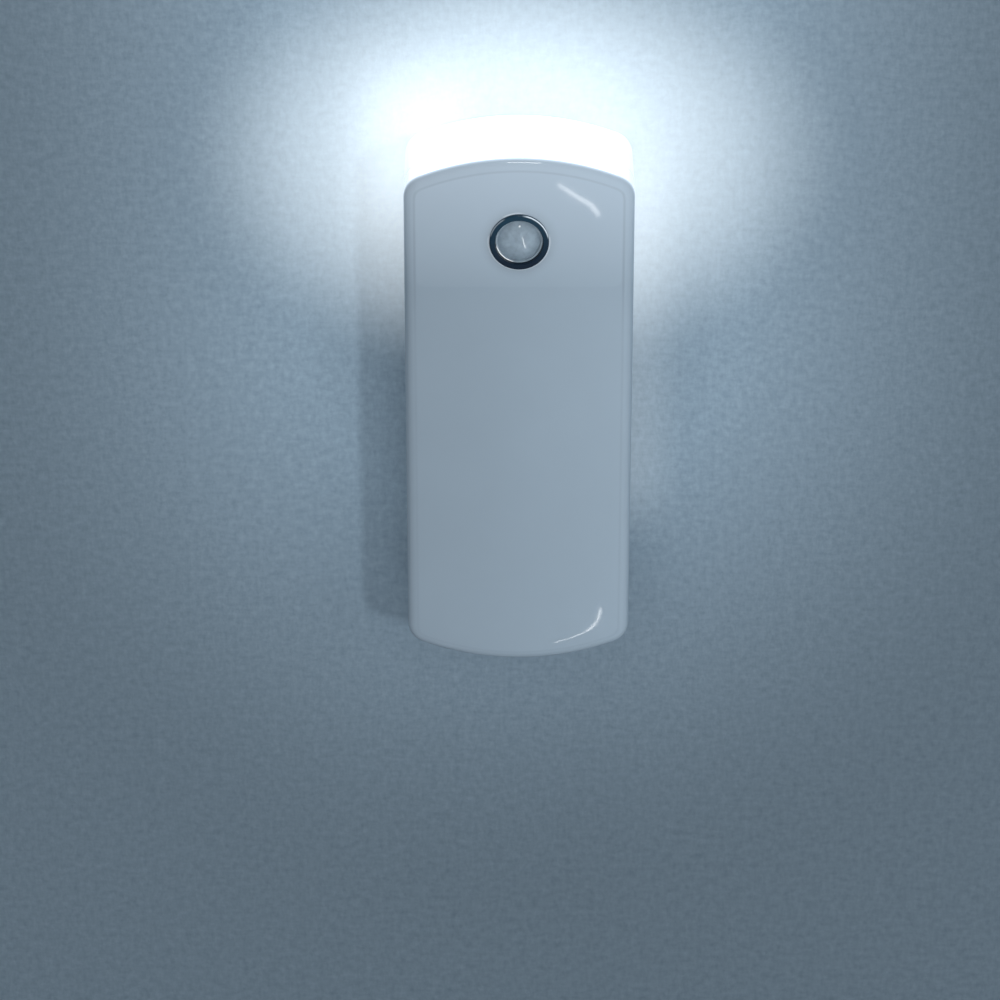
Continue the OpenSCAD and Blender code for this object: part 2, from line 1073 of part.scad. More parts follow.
module mode_knob() {
    grip_x = body_w / 2 - grip_sink;
    color(housing_colour)
        upright()
            at_switch()
                difference() {
                    union() {
                        translate([knob_plate_x, 0, 0])
                            box_at(knob_plate_t, knob_plate_l, knob_plate_w);
                        translate([knob_plate_x, 0, 0])
                            box_at(grip_x - knob_plate_x, grip_l, grip_w);
                    }
                    translate([knob_plate_x - past, 0, 0])
                        box_at(past + lever_grip + slip, lever_w + 2 * slip, lever_h + 2 * slip);
                    for (k = [-1:1])
                        translate([grip_x, k * groove_pitch, 0])
                            cylinder(h = grip_w + past, r = groove_r, center = true);
                }
}

// ---------------------------------------------------------------- plug

module at_blades() {
    both_sides()
        translate([blade_gap / 2, 0, 0])
            children();
}

module plug_base() {
    color(housing_colour)
        upright()
            difference() {
                union() {
                    rounded_block(base_w, base_h, base_corner_r, 0, back_t + fuse);
                    rounded_block(base_w + 2 * base_flange, base_h + 2 * base_flange, 3, back_t,
                        back_t + base_flange_t);
                    rounded_block(base_w - 2, base_h - 3, 2, back_t + fuse, clamp_z);
                }
                at_blades() {
                    block(blade_t + 2 * slip, blade_w + 2 * slip, -past, clamp_z + past);
                    block(blade_t + 2 * slip, shoulder_w + 2 * slip, shoulder_z, clamp_z + past);
                }
            }
}

// One blade, flat across x, with its shoulder and its wire tab
module blade() {
    half = blade_w / 2;
    tab_end = clamp_z + clamp_t + tab_l - slip;
    rotate([90, 0, 90])
        difference() {
            translate([0, 0, -blade_t / 2])
                linear_extrude(blade_t)
                    polygon([
                        [-half, -blade_l + tip_cut],
                        [-half + tip_cut, -blade_l],
                        [half - tip_cut, -blade_l],
                        [half, -blade_l + tip_cut],
                        [half, shoulder_z],
                        [shoulder_w / 2, shoulder_z],
                        [shoulder_w / 2, clamp_z - slip],
                        [tab_w / 2, clamp_z - slip],
                        [tab_w / 2, tab_end],
                        [-tab_w / 2, tab_end],
                        [-tab_w / 2, clamp_z - slip],
                        [-shoulder_w / 2, clamp_z - slip],
                        [-shoulder_w / 2, shoulder_z],
                        [-half, shoulder_z]
                    ]);
            translate([0, -tip_hole_down, 0])
                cylinder(h = 2 * blade_t, r = tip_hole_r, center = true);
        }
}

module live_blade() {
    color(brass_colour)
        upright()
            translate([blade_gap / 2, 0, 0])
                blade();
}

module neutral_blade() {
    color(brass_colour)
        upright()
            translate([-blade_gap / 2, 0, 0])
                blade();
}

module plug_clamp() {
    width = 2 * (clamp_x + post_r + clamp_rim);
    color([0.85, 0.83, 0.78])
        upright()
            difference() {
                rounded_block(width, clamp_w, post_r, clamp_z, clamp_z + clamp_t);
                at_blades()
                    block(blade_t + 2 * slip, tab_w + 2 * slip, clamp_z - past, clamp_z + clamp_t + past);
                both_sides()
                    translate([clamp_x, 0, 0])
                        disc(small_screw_r + slip, clamp_z - past, clamp_z + clamp_t + past);
            }
}

module clamp_screws() {
    color(steel_colour)
        upright()
            both_sides()
                translate([clamp_x, 0, clamp_z + clamp_t])
                    screw(small_screw_r, clamp_screw_l, small_head_r, small_head_h);
}

module mains_wire(side) {
    z = clamp_z + clamp_t + wire_r + slip;
    upright()
        translate([side * (blade_gap / 2 + blade_t / 2 + wire_r + slip / 2), tab_w / 2, z])
            bent_wire(wire_r, wire_run, wire_bend, board_z - z);
}

module live_wire() {
    color([0.1, 0.1, 0.1])
        mains_wire(1);
}

module neutral_wire() {
    color("white")
        mains_wire(-1);
}

// ---------------------------------------------------------------- case screws

module case_screws() {
    color(steel_colour)
        upright()
            at_case_screws()
                translate([0, 0, head_seat])
                    mirror([0, 0, 1])
                        screw(case_screw_r - slip / 2, case_screw_l, head_r, head_h);
}

rear_housing();
front_cover();
top_window();
light_reflector();
led_board();
led_bodies();
led_phosphors();
led_screws();
led_wire_red();
led_wire_black();
sensor_bezel();
sensor_lens();
sensor_shroud();
pir_can();
pir_filter();
pir_spacer();
main_board();
board_screws();
film_capacitor();
electrolytic_capacitor();
bridge_rectifier();
fusible_resistor();
control_chip();
chip_parts();
light_sensor();
solder_joints();
switch_frame();
switch_slider();
mode_knob();
plug_base();
live_blade();
neutral_blade();
plug_clamp();
clamp_screws();
live_wire();
neutral_wire();
case_screws();
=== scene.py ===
"""A plug-in night light with a motion sensor: its finished pieces, its finishes, the light and the camera."""

import logging
import math
from dataclasses import dataclass
from enum import Enum

import bmesh
import bpy
import numpy as np
from mathutils import Matrix, Vector


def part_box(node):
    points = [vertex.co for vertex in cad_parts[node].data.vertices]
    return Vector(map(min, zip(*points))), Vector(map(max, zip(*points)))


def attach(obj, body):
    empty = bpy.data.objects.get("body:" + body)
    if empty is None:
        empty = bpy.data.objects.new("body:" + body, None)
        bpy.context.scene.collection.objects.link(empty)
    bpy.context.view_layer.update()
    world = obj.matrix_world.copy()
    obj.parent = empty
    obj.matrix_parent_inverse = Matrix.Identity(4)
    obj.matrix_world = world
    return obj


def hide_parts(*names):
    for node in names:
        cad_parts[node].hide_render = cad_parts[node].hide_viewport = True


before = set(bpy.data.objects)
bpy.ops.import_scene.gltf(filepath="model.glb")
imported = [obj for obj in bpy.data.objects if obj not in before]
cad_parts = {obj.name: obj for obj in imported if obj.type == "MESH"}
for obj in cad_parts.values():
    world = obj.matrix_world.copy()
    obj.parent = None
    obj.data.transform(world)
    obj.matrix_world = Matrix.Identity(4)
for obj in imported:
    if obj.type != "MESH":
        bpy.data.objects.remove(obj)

LOG = logging.getLogger("night_light")
Pair = tuple[float, float]
Triple = tuple[float, float, float]
Colour = tuple[float, float, float, float]
Piece = bpy.types.Object
Material = bpy.types.Material

MM = 0.001
AXIS = 1e-3  # The radius in millimetres at which a solid section starts, next to its axis.
PIP_UP = 3.7  # How far above the lens's middle its pip stands.
RING_TRIM = 0.18  # How far inside its CAD box the sensor ring's side stands.
BLACK = (0, 0, 0, 1)


# ---------------------------------------------------------------- colours and places


def srgb(red: float, green: float, blue: float) -> Colour:
    """Turns a screen colour into the linear colour that a node takes.

    Args:
        red, green, blue: The colour's parts, from 0 to 255.

    Returns:
        The linear colour with an alpha of 1.
    """
    parts = (value / 255 for value in (red, green, blue))
    linear = [p / 12.92 if p <= 0.04045 else ((p + 0.055) / 1.055) ** 2.4 for p in parts]
    return (*linear, 1.0)


def shade(colour: Colour, share: float) -> Colour:
    """Makes a colour darker or lighter by a share."""
    return (*(min(part * share, 1.0) for part in colour[:3]), 1.0)


@dataclass(frozen=True)
class Box:
    """A CAD node's box in millimetres: across, up, and out of the wall."""

    left: float
    right: float
    low: float
    high: float
    back: float
    front: float

    @classmethod
    def of(cls, node: str) -> "Box":
        """Reads the box of one node from the frame.

        Args:
            node: The CAD node.

        Returns:
            Its box.
        """
        lowest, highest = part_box(node)
        sides = (lowest.x, highest.x, lowest.z, highest.z, -highest.y, -lowest.y)
        return cls(*(side / MM for side in sides))

    @property
    def centre(self) -> Triple:
        """The middle of the box."""
        return ((self.left + self.right) / 2, (self.low + self.high) / 2, (self.back + self.front) / 2)

    @property
    def size(self) -> Triple:
        """The box's width, height and depth."""
        return (self.right - self.left, self.high - self.low, self.front - self.back)


# ---------------------------------------------------------------- meshes


def stand(name: str, mesh: bpy.types.Mesh) -> Piece:
    """Stands a mesh in the scene, at the frame's origin.

    Args:
        name: The new object's name.
        mesh: Its mesh.

    Returns:
        The new object.
    """
    piece = bpy.data.objects.new(name, mesh)
    bpy.context.scene.collection.objects.link(piece)
    return piece


def new_piece(name: str, vertices: np.ndarray, faces: list[tuple[int, ...]]) -> Piece:
    """Makes a mesh object at the frame's origin.

    Args:
        name: The piece's name.
        vertices: Rows of (across, up, out) in millimetres.
        faces: The vertices of each face, in order.

    Returns:
        The new object.
    """
    mesh = bpy.data.meshes.new(name)
    places = np.stack([vertices[:, 0], -vertices[:, 2], vertices[:, 1]], axis=1) * MM
    mesh.from_pydata(places.tolist(), [], faces)
    mesh.validate()
    return stand(name, mesh)


def discard(piece: Piece) -> None:
    """Removes an object and its mesh.

    Args:
        piece: The object.
    """
    mesh = piece.data
    bpy.data.objects.remove(piece)
    bpy.data.meshes.remove(mesh)


def point_outwards(mesh: bpy.types.Mesh) -> None:
    """Turns the faces of a closed mesh to point outwards.

    Args:
        mesh: The mesh that is changed.
    """
    work = bmesh.new()
    work.from_mesh(mesh)
    bmesh.ops.recalc_face_normals(work, faces=work.faces)
    if work.calc_volume(signed=True) < 0:
        bmesh.ops.reverse_faces(work, faces=work.faces)
    work.to_mesh(mesh)
    work.free()


def smooth(piece: Piece, angle: float = 35.0) -> None:
    """Shades a piece smooth, with sharp edges where its faces meet at more than the angle in degrees."""
    piece.data.polygons.foreach_set("use_smooth", [True] * len(piece.data.polygons))
    piece.data.set_sharp_from_angle(angle=math.radians(angle))


def bake(piece: Piece) -> Piece:
    """Turns a piece and its modifiers into a plain mesh, and removes the modifiers.

    Args:
        piece: The object that is changed.

    Returns:
        The same object.
    """
    graph = bpy.context.evaluated_depsgraph_get()
    graph.update()
    mesh = bpy.data.meshes.new_from_object(piece.evaluated_get(graph))
    old = piece.data
    piece.modifiers.clear()
    piece.data = mesh
    mesh.name = piece.name
    bpy.data.meshes.remove(old)
    return piece


class Carve(Enum):
    """What one closed mesh does to another."""

    CUT = "DIFFERENCE"
    ADD = "UNION"


def carve(piece: Piece, tool: Piece, way: Carve = Carve.CUT) -> None:
    """Cuts one closed mesh with another, or joins them, and removes the tool.

    Args:
        piece: The mesh object that is changed.
        tool: The mesh object that cuts it or is added to it.
        way: What the tool does.
    """
    modifier = piece.modifiers.new("carve", "BOOLEAN")
    modifier.operation = way.value
    modifier.solver = "EXACT"
    modifier.object = tool
    bake(piece)
    discard(tool)


def join(name: str, parts: list[Piece]) -> Piece:
    """Joins closed meshes into one object without changing their shapes.

    Args:
        name: The new object's name.
        parts: The objects, which are removed.

    Returns:
        The new object.
    """
    work = bmesh.new()
    for part in parts:
        work.from_mesh(part.data)
        discard(part)
    mesh = bpy.data.meshes.new(name)
    work.to_mesh(mesh)
    work.free()
    return stand(name, mesh)


def skin(name: str, rings: list[np.ndarray], round_again: bool = False) -> Piece:
    """Skins a run of closed rings that have the same number of points.

    Args:
        name: The piece's name.
        rings: Each ring's rows of (across, up, out), in millimetres.
        round_again: Joins the last ring to the first. Otherwise both ends are capped.

    Returns:
        The closed mesh object, with its faces outwards.
    """
    count, rows = len(rings[0]), len(rings)
    faces = [
        (row * count + k, row * count + (k + 1) % count,
         (row + 1) % rows * count + (k + 1) % count, (row + 1) % rows * count + k)
        for row in range(rows if round_again else rows - 1)
        for k in range(count)
    ]
    if not round_again:
        faces.append(tuple(reversed(range(count))))
        faces.append(tuple(range((rows - 1) * count, rows * count)))
    piece = new_piece(name, np.concatenate(rings), faces)
    point_outwards(piece.data)
    return piece


def at_level(flat: np.ndarray, out: float) -> np.ndarray:
    """Stands rows of (across, up) at a distance out of the wall."""
    return np.column_stack([flat, np.full(len(flat), out)])


def arc(centre: Pair, radius: float, start: float, end: float, steps: int) -> list[Pair]:
    """Points along an arc.

    Args:
        centre: The arc's centre.
        radius: The arc's radius.
        start, end: The angles of its ends, in degrees.
        steps: How many stretches it has.

    Returns:
        The points, both ends included.
    """
    angles = np.radians(np.linspace(start, end, steps + 1))
    return [(centre[0] + radius * math.cos(a), centre[1] + radius * math.sin(a)) for a in angles]


def turned(name: str, section: list[Pair], place: Pair, steps: int, closed: bool = True) -> Piece:
    """Turns a section about an axis that stands out of the wall.

    Args:
        name: The piece's name.
        section: Points of (radius, out), in millimetres.
        place: The axis's place across and up.
        steps: How many flats the round has.
        closed: The section is a closed loop clear of the axis. Otherwise it starts and ends near the axis,
            where caps close it.

    Returns:
        The closed mesh object.
    """
    angles = np.linspace(0, 2 * math.pi, steps, endpoint=False)
    circle = np.stack([np.cos(angles), np.sin(angles)], axis=1)
    return skin(name, [at_level(np.array(place) + r * circle, out) for r, out in section], round_again=closed)


def tube(bore_r: float, outer_r: float, base: float, top: float, place: Pair, steps: int) -> Piece:
    """Makes a post with a bore and a broken top edge.

    Args:
        bore_r, outer_r: The radii of its bore and its wall.
        base, top: How far out of the wall it starts and ends.
        place: Its place across and up.
        steps: How many flats the round has.

    Returns:
        The closed mesh object.
    """
    broken = 0.3
    outside = [(outer_r, base), (outer_r, top - broken), (outer_r - broken, top)]
    return turned("tube", [(bore_r, base), *outside, (bore_r, top)], place, steps)


def rounded_rectangle(width: float, height: float, radius: float, steps: int = 8) -> np.ndarray:
    """The outline of a rectangle with round corners, about its centre.

    Args:
        width, height: The whole size, in millimetres.
        radius: The corners' radius.
        steps: The stretches in each corner.

    Returns:
        Rows of (across, up), anticlockwise.
    """
    points: list[Pair] = []
    for side_x, side_y, start in ((1, 1, 0), (-1, 1, 90), (-1, -1, 180), (1, -1, 270)):
        centre = (side_x * (width / 2 - radius), side_y * (height / 2 - radius))
        points += arc(centre, radius, start, start + 90, steps)
    return np.array(points)


def prism(outline: np.ndarray, levels: list[Pair], centre: Pair, size: Pair) -> Piece:
    """Stands a convex outline out of the wall, drawn in at some levels.

    Args:
        outline: Rows of (across, up) about the centre.
        levels: Points of (inset, out), from one end to the other.
        centre: The centre's place across and up.
        size: The outline's whole width and height, which the insets shrink.

    Returns:
        The closed mesh object.
    """
    scales = [np.array([1 - 2 * inset / size[0], 1 - 2 * inset / size[1]]) for inset, _ in levels]
    rings = [at_level(outline * scale + np.array(centre), out) for scale, (_, out) in zip(scales, levels)]
    return skin("prism", rings)


def side_loft(name: str, size: Pair, profile: list[Pair], place: Pair, radius: float | None = None,
              steps: int = 8) -> Piece:
    """Skins rounded rectangles that lie one above another on the right-hand wall.

    Args:
        name: The piece's name.
        size: The largest rectangle's size, out of the wall and upwards.
        profile: Each rectangle's inset and its place across.
        place: Their centre, up and out.
        radius: The corners' radius, or None for round ends.
        steps: The stretches in each corner.

    Returns:
        The closed mesh object.
    """
    nearly_half = 0.05
    rings = []
    for inset, across in profile:
        width, height = size[0] - 2 * inset, size[1] - 2 * inset
        flat = rounded_rectangle(width, height, radius or width / 2 - nearly_half, steps)
        turned_flat = flat[:, ::-1] + np.array(place)
        rings.append(np.column_stack([np.full(len(flat), across), turned_flat]))
    return skin(name, rings)


def merged_copy(node: str, name: str, bevel: float) -> Piece:
    """Copies a CAD node's mesh, merges its loose triangles and breaks its edges.

    Args:
        node: The CAD node.
        name: The new piece's name.
        bevel: The width of the broken edges, in millimetres.

    Returns:
        The new piece, which stands for the node.
    """
    weld = 2e-6
    flat, sharp = math.radians(2), math.radians(40)
    work = bmesh.new()
    work.from_mesh(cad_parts[node].data)
    bmesh.ops.remove_doubles(work, verts=work.verts, dist=weld)
    bmesh.ops.dissolve_limit(work, angle_limit=flat, verts=work.verts, edges=work.edges)
    mesh = bpy.data.meshes.new(name)
    work.to_mesh(mesh)
    work.free()
    piece = stand(name, mesh)
    modifier = piece.modifiers.new("broken edges", "BEVEL")
    modifier.width = bevel * MM
    modifier.segments = 2
    modifier.limit_method = "ANGLE"
    modifier.angle_limit = sharp
    modifier.use_clamp_overlap = True
    bake(piece)
    smooth(piece)
    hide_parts(node)
    return piece


# ---------------------------------------------------------------- node trees


class Term:
    """A value that a node gives, for sums in the same tree."""

    def __init__(self, graph: "Graph", socket: bpy.types.NodeSocket) -> None:
        """Takes the tree's builder and the node's output."""
        self.graph = graph
        self.socket = socket

    def __add__(self, other: "Term | float") -> "Term":
        """This value plus another."""
        return self.graph.math("ADD", self, other)

    def __sub__(self, other: "Term | float") -> "Term":
        """This value less another."""
        return self.graph.math("SUBTRACT", self, other)

    def __rsub__(self, other: float) -> "Term":
        """A number less this value."""
        return self.graph.math("SUBTRACT", other, self)

    def __mul__(self, other: "Term | float") -> "Term":
        """This value times another."""
        return self.graph.math("MULTIPLY", self, other)

    def __truediv__(self, other: "Term | float") -> "Term":
        """This value over another."""
        return self.graph.math("DIVIDE", self, other)

    def __abs__(self) -> "Term":
        """This value without its sign."""
        return self.graph.math("ABSOLUTE", self)


class Graph:
    """Adds the nodes of a tree and joins them."""

    def __init__(self, tree: bpy.types.NodeTree) -> None:
        """Takes the tree that the calls work on."""
        self.tree = tree

    def add(self, kind: str, inputs: dict | None = None, **settings: object) -> bpy.types.Node:
        """Adds a node.

        Args:
            kind: The node's type.
            inputs: A plain value or a term for each input, by name or by number.
            **settings: The node's own settings.

        Returns:
            The new node.
        """
        node = self.tree.nodes.new(kind)
        for name, value in settings.items():
            setattr(node, name, value)
        for name, value in (inputs or {}).items():
            self.feed(node.inputs[name], value)
        return node

    def feed(self, socket: bpy.types.NodeSocket, value: object) -> None:
        """Joins a term to an input, or sets the input to a plain value.

        Args:
            socket: The input.
            value: The term or the plain value.
        """
        if isinstance(value, Term):
            self.tree.links.new(value.socket, socket)
        else:
            socket.default_value = value

    def term(self, kind: str, inputs: dict | None = None, output: int | str = 0, **settings: object) -> Term:
        """Adds a node as add does, and gives one of its outputs, by name or by number."""
        return Term(self, self.add(kind, inputs, **settings).outputs[output])

    def math(self, operation: str, first: Term | float, second: Term | float = 0.0,
             clamp: bool = False) -> Term:
        """Works out one sum of two values."""
        return self.term("ShaderNodeMath", {0: first, 1: second}, operation=operation, use_clamp=clamp)

    def larger(self, first: Term | float, second: Term | float) -> Term:
        """Takes the larger of two values."""
        return self.math("MAXIMUM", first, second)

    def smaller(self, first: Term, second: Term, soft: float) -> Term:
        """Takes the smaller of two values, with a soft turn from one to the other."""
        return self.term("ShaderNodeMath", {0: first, 1: second, 2: soft}, operation="SMOOTH_MIN")

    def step(self, value: Term, start: float, end: float) -> Term:
        """Goes smoothly from 0 to 1 as the value goes from start to end."""
        inputs = {"Value": value, "From Min": start, "From Max": end}
        return self.term("ShaderNodeMapRange", inputs, interpolation_type="SMOOTHSTEP")

    def ramp(self, value: Term, start: float, end: float, low: float = 0.0, high: float = 1.0) -> Term:
        """Goes straight from low to high as the value goes from start to end."""
        inputs = {"Value": value, "From Min": start, "From Max": end, "To Min": low, "To Max": high}
        return self.term("ShaderNodeMapRange", inputs)

    def far(self, first: Term, second: Term) -> Term:
        """The distance of two flat coordinates from their origin."""
        flat = self.term("ShaderNodeCombineXYZ", {0: first, 1: second})
        return self.term("ShaderNodeVectorMath", {0: flat}, "Value", operation="LENGTH")

    def blend(self, factor: Term, first: Term | Colour, second: Term | Colour, mode: str = "MIX") -> Term:
        """Mixes two colours by a factor."""
        inputs = {0: factor, 6: first, 7: second}
        return self.term("ShaderNodeMix", inputs, 2, data_type="RGBA", blend_type=mode)


class SurfaceGraph(Graph):
    """The node tree of a material with one main shader."""

    def __init__(self, name: str) -> None:
        """Starts a material.

        Args:
            name: The material's name.
        """
        self.material = bpy.data.materials.new(name)
        self.material.use_nodes = True
        super().__init__(self.material.node_tree)
        self.tree.nodes.clear()
        self.shader = self.add("ShaderNodeBsdfPrincipled")
        self.look = Term(self, self.shader.outputs[0])
        self.output = self.add("ShaderNodeOutputMaterial", {"Surface": self.look})
        self.place = self.term("ShaderNodeTexCoord", output="Object")

    def set(self, **values: object) -> None:
        """Sets the main shader's inputs, named with _ for a space."""
        for name, value in values.items():
            self.feed(self.shader.inputs[name.replace("_", " ")], value)

    def cover_look(self, share: Term, look: Term) -> None:
        """Shows another shader in place of the main one, by a share."""
        mixed = self.term("ShaderNodeMixShader", {0: share, 1: self.look, 2: look})
        self.feed(self.output.inputs["Surface"], mixed)

    def split(self, vector: Term) -> list[Term]:
        """The three parts of a vector."""
        return [Term(self, part) for part in self.add("ShaderNodeSeparateXYZ", {0: vector}).outputs]

    def axes(self) -> list[Term]:
        """The place as across, out of the wall and up, in millimetres."""
        inputs = {0: self.place, 1: (1 / MM, -1 / MM, 1 / MM)}
        return self.split(self.term("ShaderNodeVectorMath", inputs, operation="MULTIPLY"))

    def lit_through(self, up: Term, top_up: float) -> Term:
        """How much of the lamps' light comes through the plastic near the top.

        Args:
            up: The height in millimetres.
            top_up: The height of the body's top.

        Returns:
            The share: 1 on top, softly less down the sides and next to nothing at the back.
        """
        crown_from, crown_full, side_from, side_full = (top_up - depth for depth in (13, 5, 32, 1))
        side_share, back_loss = 0.66, 0.9
        _, backwards, upwards = self.split(self.term("ShaderNodeNewGeometry", output="Normal"))
        crown = self.step(up, crown_from, crown_full) * self.ramp(upwards, 0.0, 0.85)
        sides = self.step(up, side_from, side_full) * side_share
        return self.larger(crown, sides * (1.0 - self.step(backwards, 0.1, 0.8) * back_loss))

    def arc_share(self, across: Term, rise: Term, middle: float, half: float) -> Term:
        """Marks part of a circle on the front.

        Args:
            across, rise: The place, from the circle's middle.
            middle: The turn to the marked part's middle, in degrees anticlockwise from the right.
            half: Half of its length in degrees.

        Returns:
            The mark: 1 in the middle, 0 past its ends.
        """
        turn, full = math.radians(middle), 0.6
        along = across * math.cos(turn) + rise * math.sin(turn)
        cosine = along / self.far(across, rise)
        return self.step(cosine, math.cos(math.radians(half)), math.cos(math.radians(half * full)))

    def noise(self, size: float, detail: float = 2.0, rough: float = 0.5,
              stretch: Triple = (1, 1, 1)) -> Term:
        """Makes cloudy noise.

        Args:
            size: The size of its clouds, in millimetres.
            detail: How many finer layers it has.
            rough: How strong the finer layers are.
            stretch: How much it is squeezed along each axis.

        Returns:
            Its value, from 0 to 1.
        """
        place = self.term("ShaderNodeMapping", {"Vector": self.place, "Scale": stretch})
        inputs = {"Vector": place, "Scale": 1 / (size * MM), "Detail": detail, "Roughness": rough}
        return self.term("ShaderNodeTexNoise", inputs)

    def bump(self, height: Term, depth: float, strength: float = 1.0) -> Term:
        """Turns a height from 0 to 1 into a normal, for a depth in millimetres."""
        return self.term("ShaderNodeBump", {"Height": height, "Distance": depth * MM, "Strength": strength})


class PlacesGraph(Graph):
    """A geometry tree that sets out copies on points, and ends in real meshes with a material."""

    def __init__(self, name: str, sizes: dict[str, str]) -> None:
        """Starts the tree.

        Args:
            name: The tree's name.
            sizes: The name of each input, with its kind of socket.
        """
        super().__init__(bpy.data.node_groups.new(name, "GeometryNodeTree"))
        kinds = {"Places": "Geometry", **sizes, "Finish": "Material"}
        for label, kind in kinds.items():
            self.tree.interface.new_socket(label, in_out="INPUT", socket_type="NodeSocket" + kind)
        self.tree.interface.new_socket("Pieces", in_out="OUTPUT", socket_type="NodeSocketGeometry")
        given = self.add("NodeGroupInput").outputs
        self.given = {label: Term(self, given[label]) for label in kinds}

    def copies(self, points: Term, original: Term, turn: Term | Triple = (0, 0, 0)) -> Term:
        """Puts a turned copy of the original on each point."""
        inputs = {"Points": points, "Instance": original, "Rotation": turn}
        return self.term("GeometryNodeInstanceOnPoints", inputs)

    def finish(self, copies: Term) -> None:
        """Makes the copies real, gives them the finish and ends the tree.

        Args:
            copies: The copies on their points.
        """
        real = self.term("GeometryNodeRealizeInstances", {0: copies})
        dressed = self.term("GeometryNodeSetMaterial", {"Geometry": real, "Material": self.given["Finish"]})
        self.add("NodeGroupOutput", {0: dressed})

    def run(self, name: str, places: list[Triple], **values: object) -> Piece:
        """Runs the tree on a set of places.

        Args:
            name: The new piece's name.
            places: Rows of (across, up, out) in millimetres.
            **values: The inputs' values.

        Returns:
            The baked piece.
        """
        piece = new_piece(name, np.array(places, float), [])
        modifier = piece.modifiers.new(self.tree.name, "NODES")
        modifier.node_group = self.tree
        for item in self.tree.interface.items_tree:
            if item.in_out == "INPUT" and item.name in values:
                modifier[item.identifier] = values[item.name]
        return bake(piece)


# ---------------------------------------------------------------- finishes


@dataclass(frozen=True)
class Moulded:
    """Moulded plastic or rubber: a little uneven in colour and gloss, with a fine skin."""

    name: str
    colour: Colour
    roughness: float = 0.35
    spread: float = 0.06
    grain: float = 0.5
    grain_depth: float = 0.004
    cloud: float = 22.0
    smear: float = 9.0
    uneven: Pair = (0.85, 1.15)
    glow: float = 0.0
    glow_colour: Colour = (0.88, 0.96, 1, 1)
    top_up: float = 0.0

    def material(self) -> Material:
        """Makes the material; with a glow given, the lamps' light comes through near its top.

        Returns:
            The material.
        """
        graph = SurfaceGraph(self.name)
        colours = shade(self.colour, 1 - self.spread), shade(self.colour, 1 + self.spread)
        graph.set(Base_Color=graph.blend(graph.noise(self.cloud, 3), *colours))
        reach = (self.roughness * share for share in self.uneven)
        graph.set(Roughness=graph.ramp(graph.noise(self.smear, 4, 0.6), 0.0, 1.0, *reach))
        graph.set(Normal=graph.bump(graph.noise(self.grain, 2), self.grain_depth))
        if self.glow:
            _, _, up = graph.axes()
            through = graph.lit_through(up, self.top_up) * self.glow
            graph.set(Emission_Color=self.glow_colour, Emission_Strength=through)
        return graph.material


@dataclass(frozen=True)
class Metal:
    """Bare or plated metal, brushed along one axis."""

    name: str
    colour: Colour
    roughness: float = 0.3
    brush: Triple = (1, 1, 1)
    spread: float = 0.12
    scratch: float = 0.5
    scratch_depth: float = 0.004
    uneven: Pair = (0.7, 1.4)
    stain: float = 5.0

    def material(self) -> Material:
        """Makes the material.

        Returns:
            The material.
        """
        graph = SurfaceGraph(self.name)
        stain = graph.blend(graph.noise(self.stain, 3), shade(self.colour, 1 - self.spread), self.colour)
        scratches = graph.noise(self.scratch, 3, 0.6, self.brush)
        reach = (self.roughness * share for share in self.uneven)
        graph.set(Roughness=graph.ramp(scratches, 0.0, 1.0, *reach))
        graph.set(Base_Color=stain, Metallic=1.0, Normal=graph.bump(scratches, self.scratch_depth))
        return graph.material


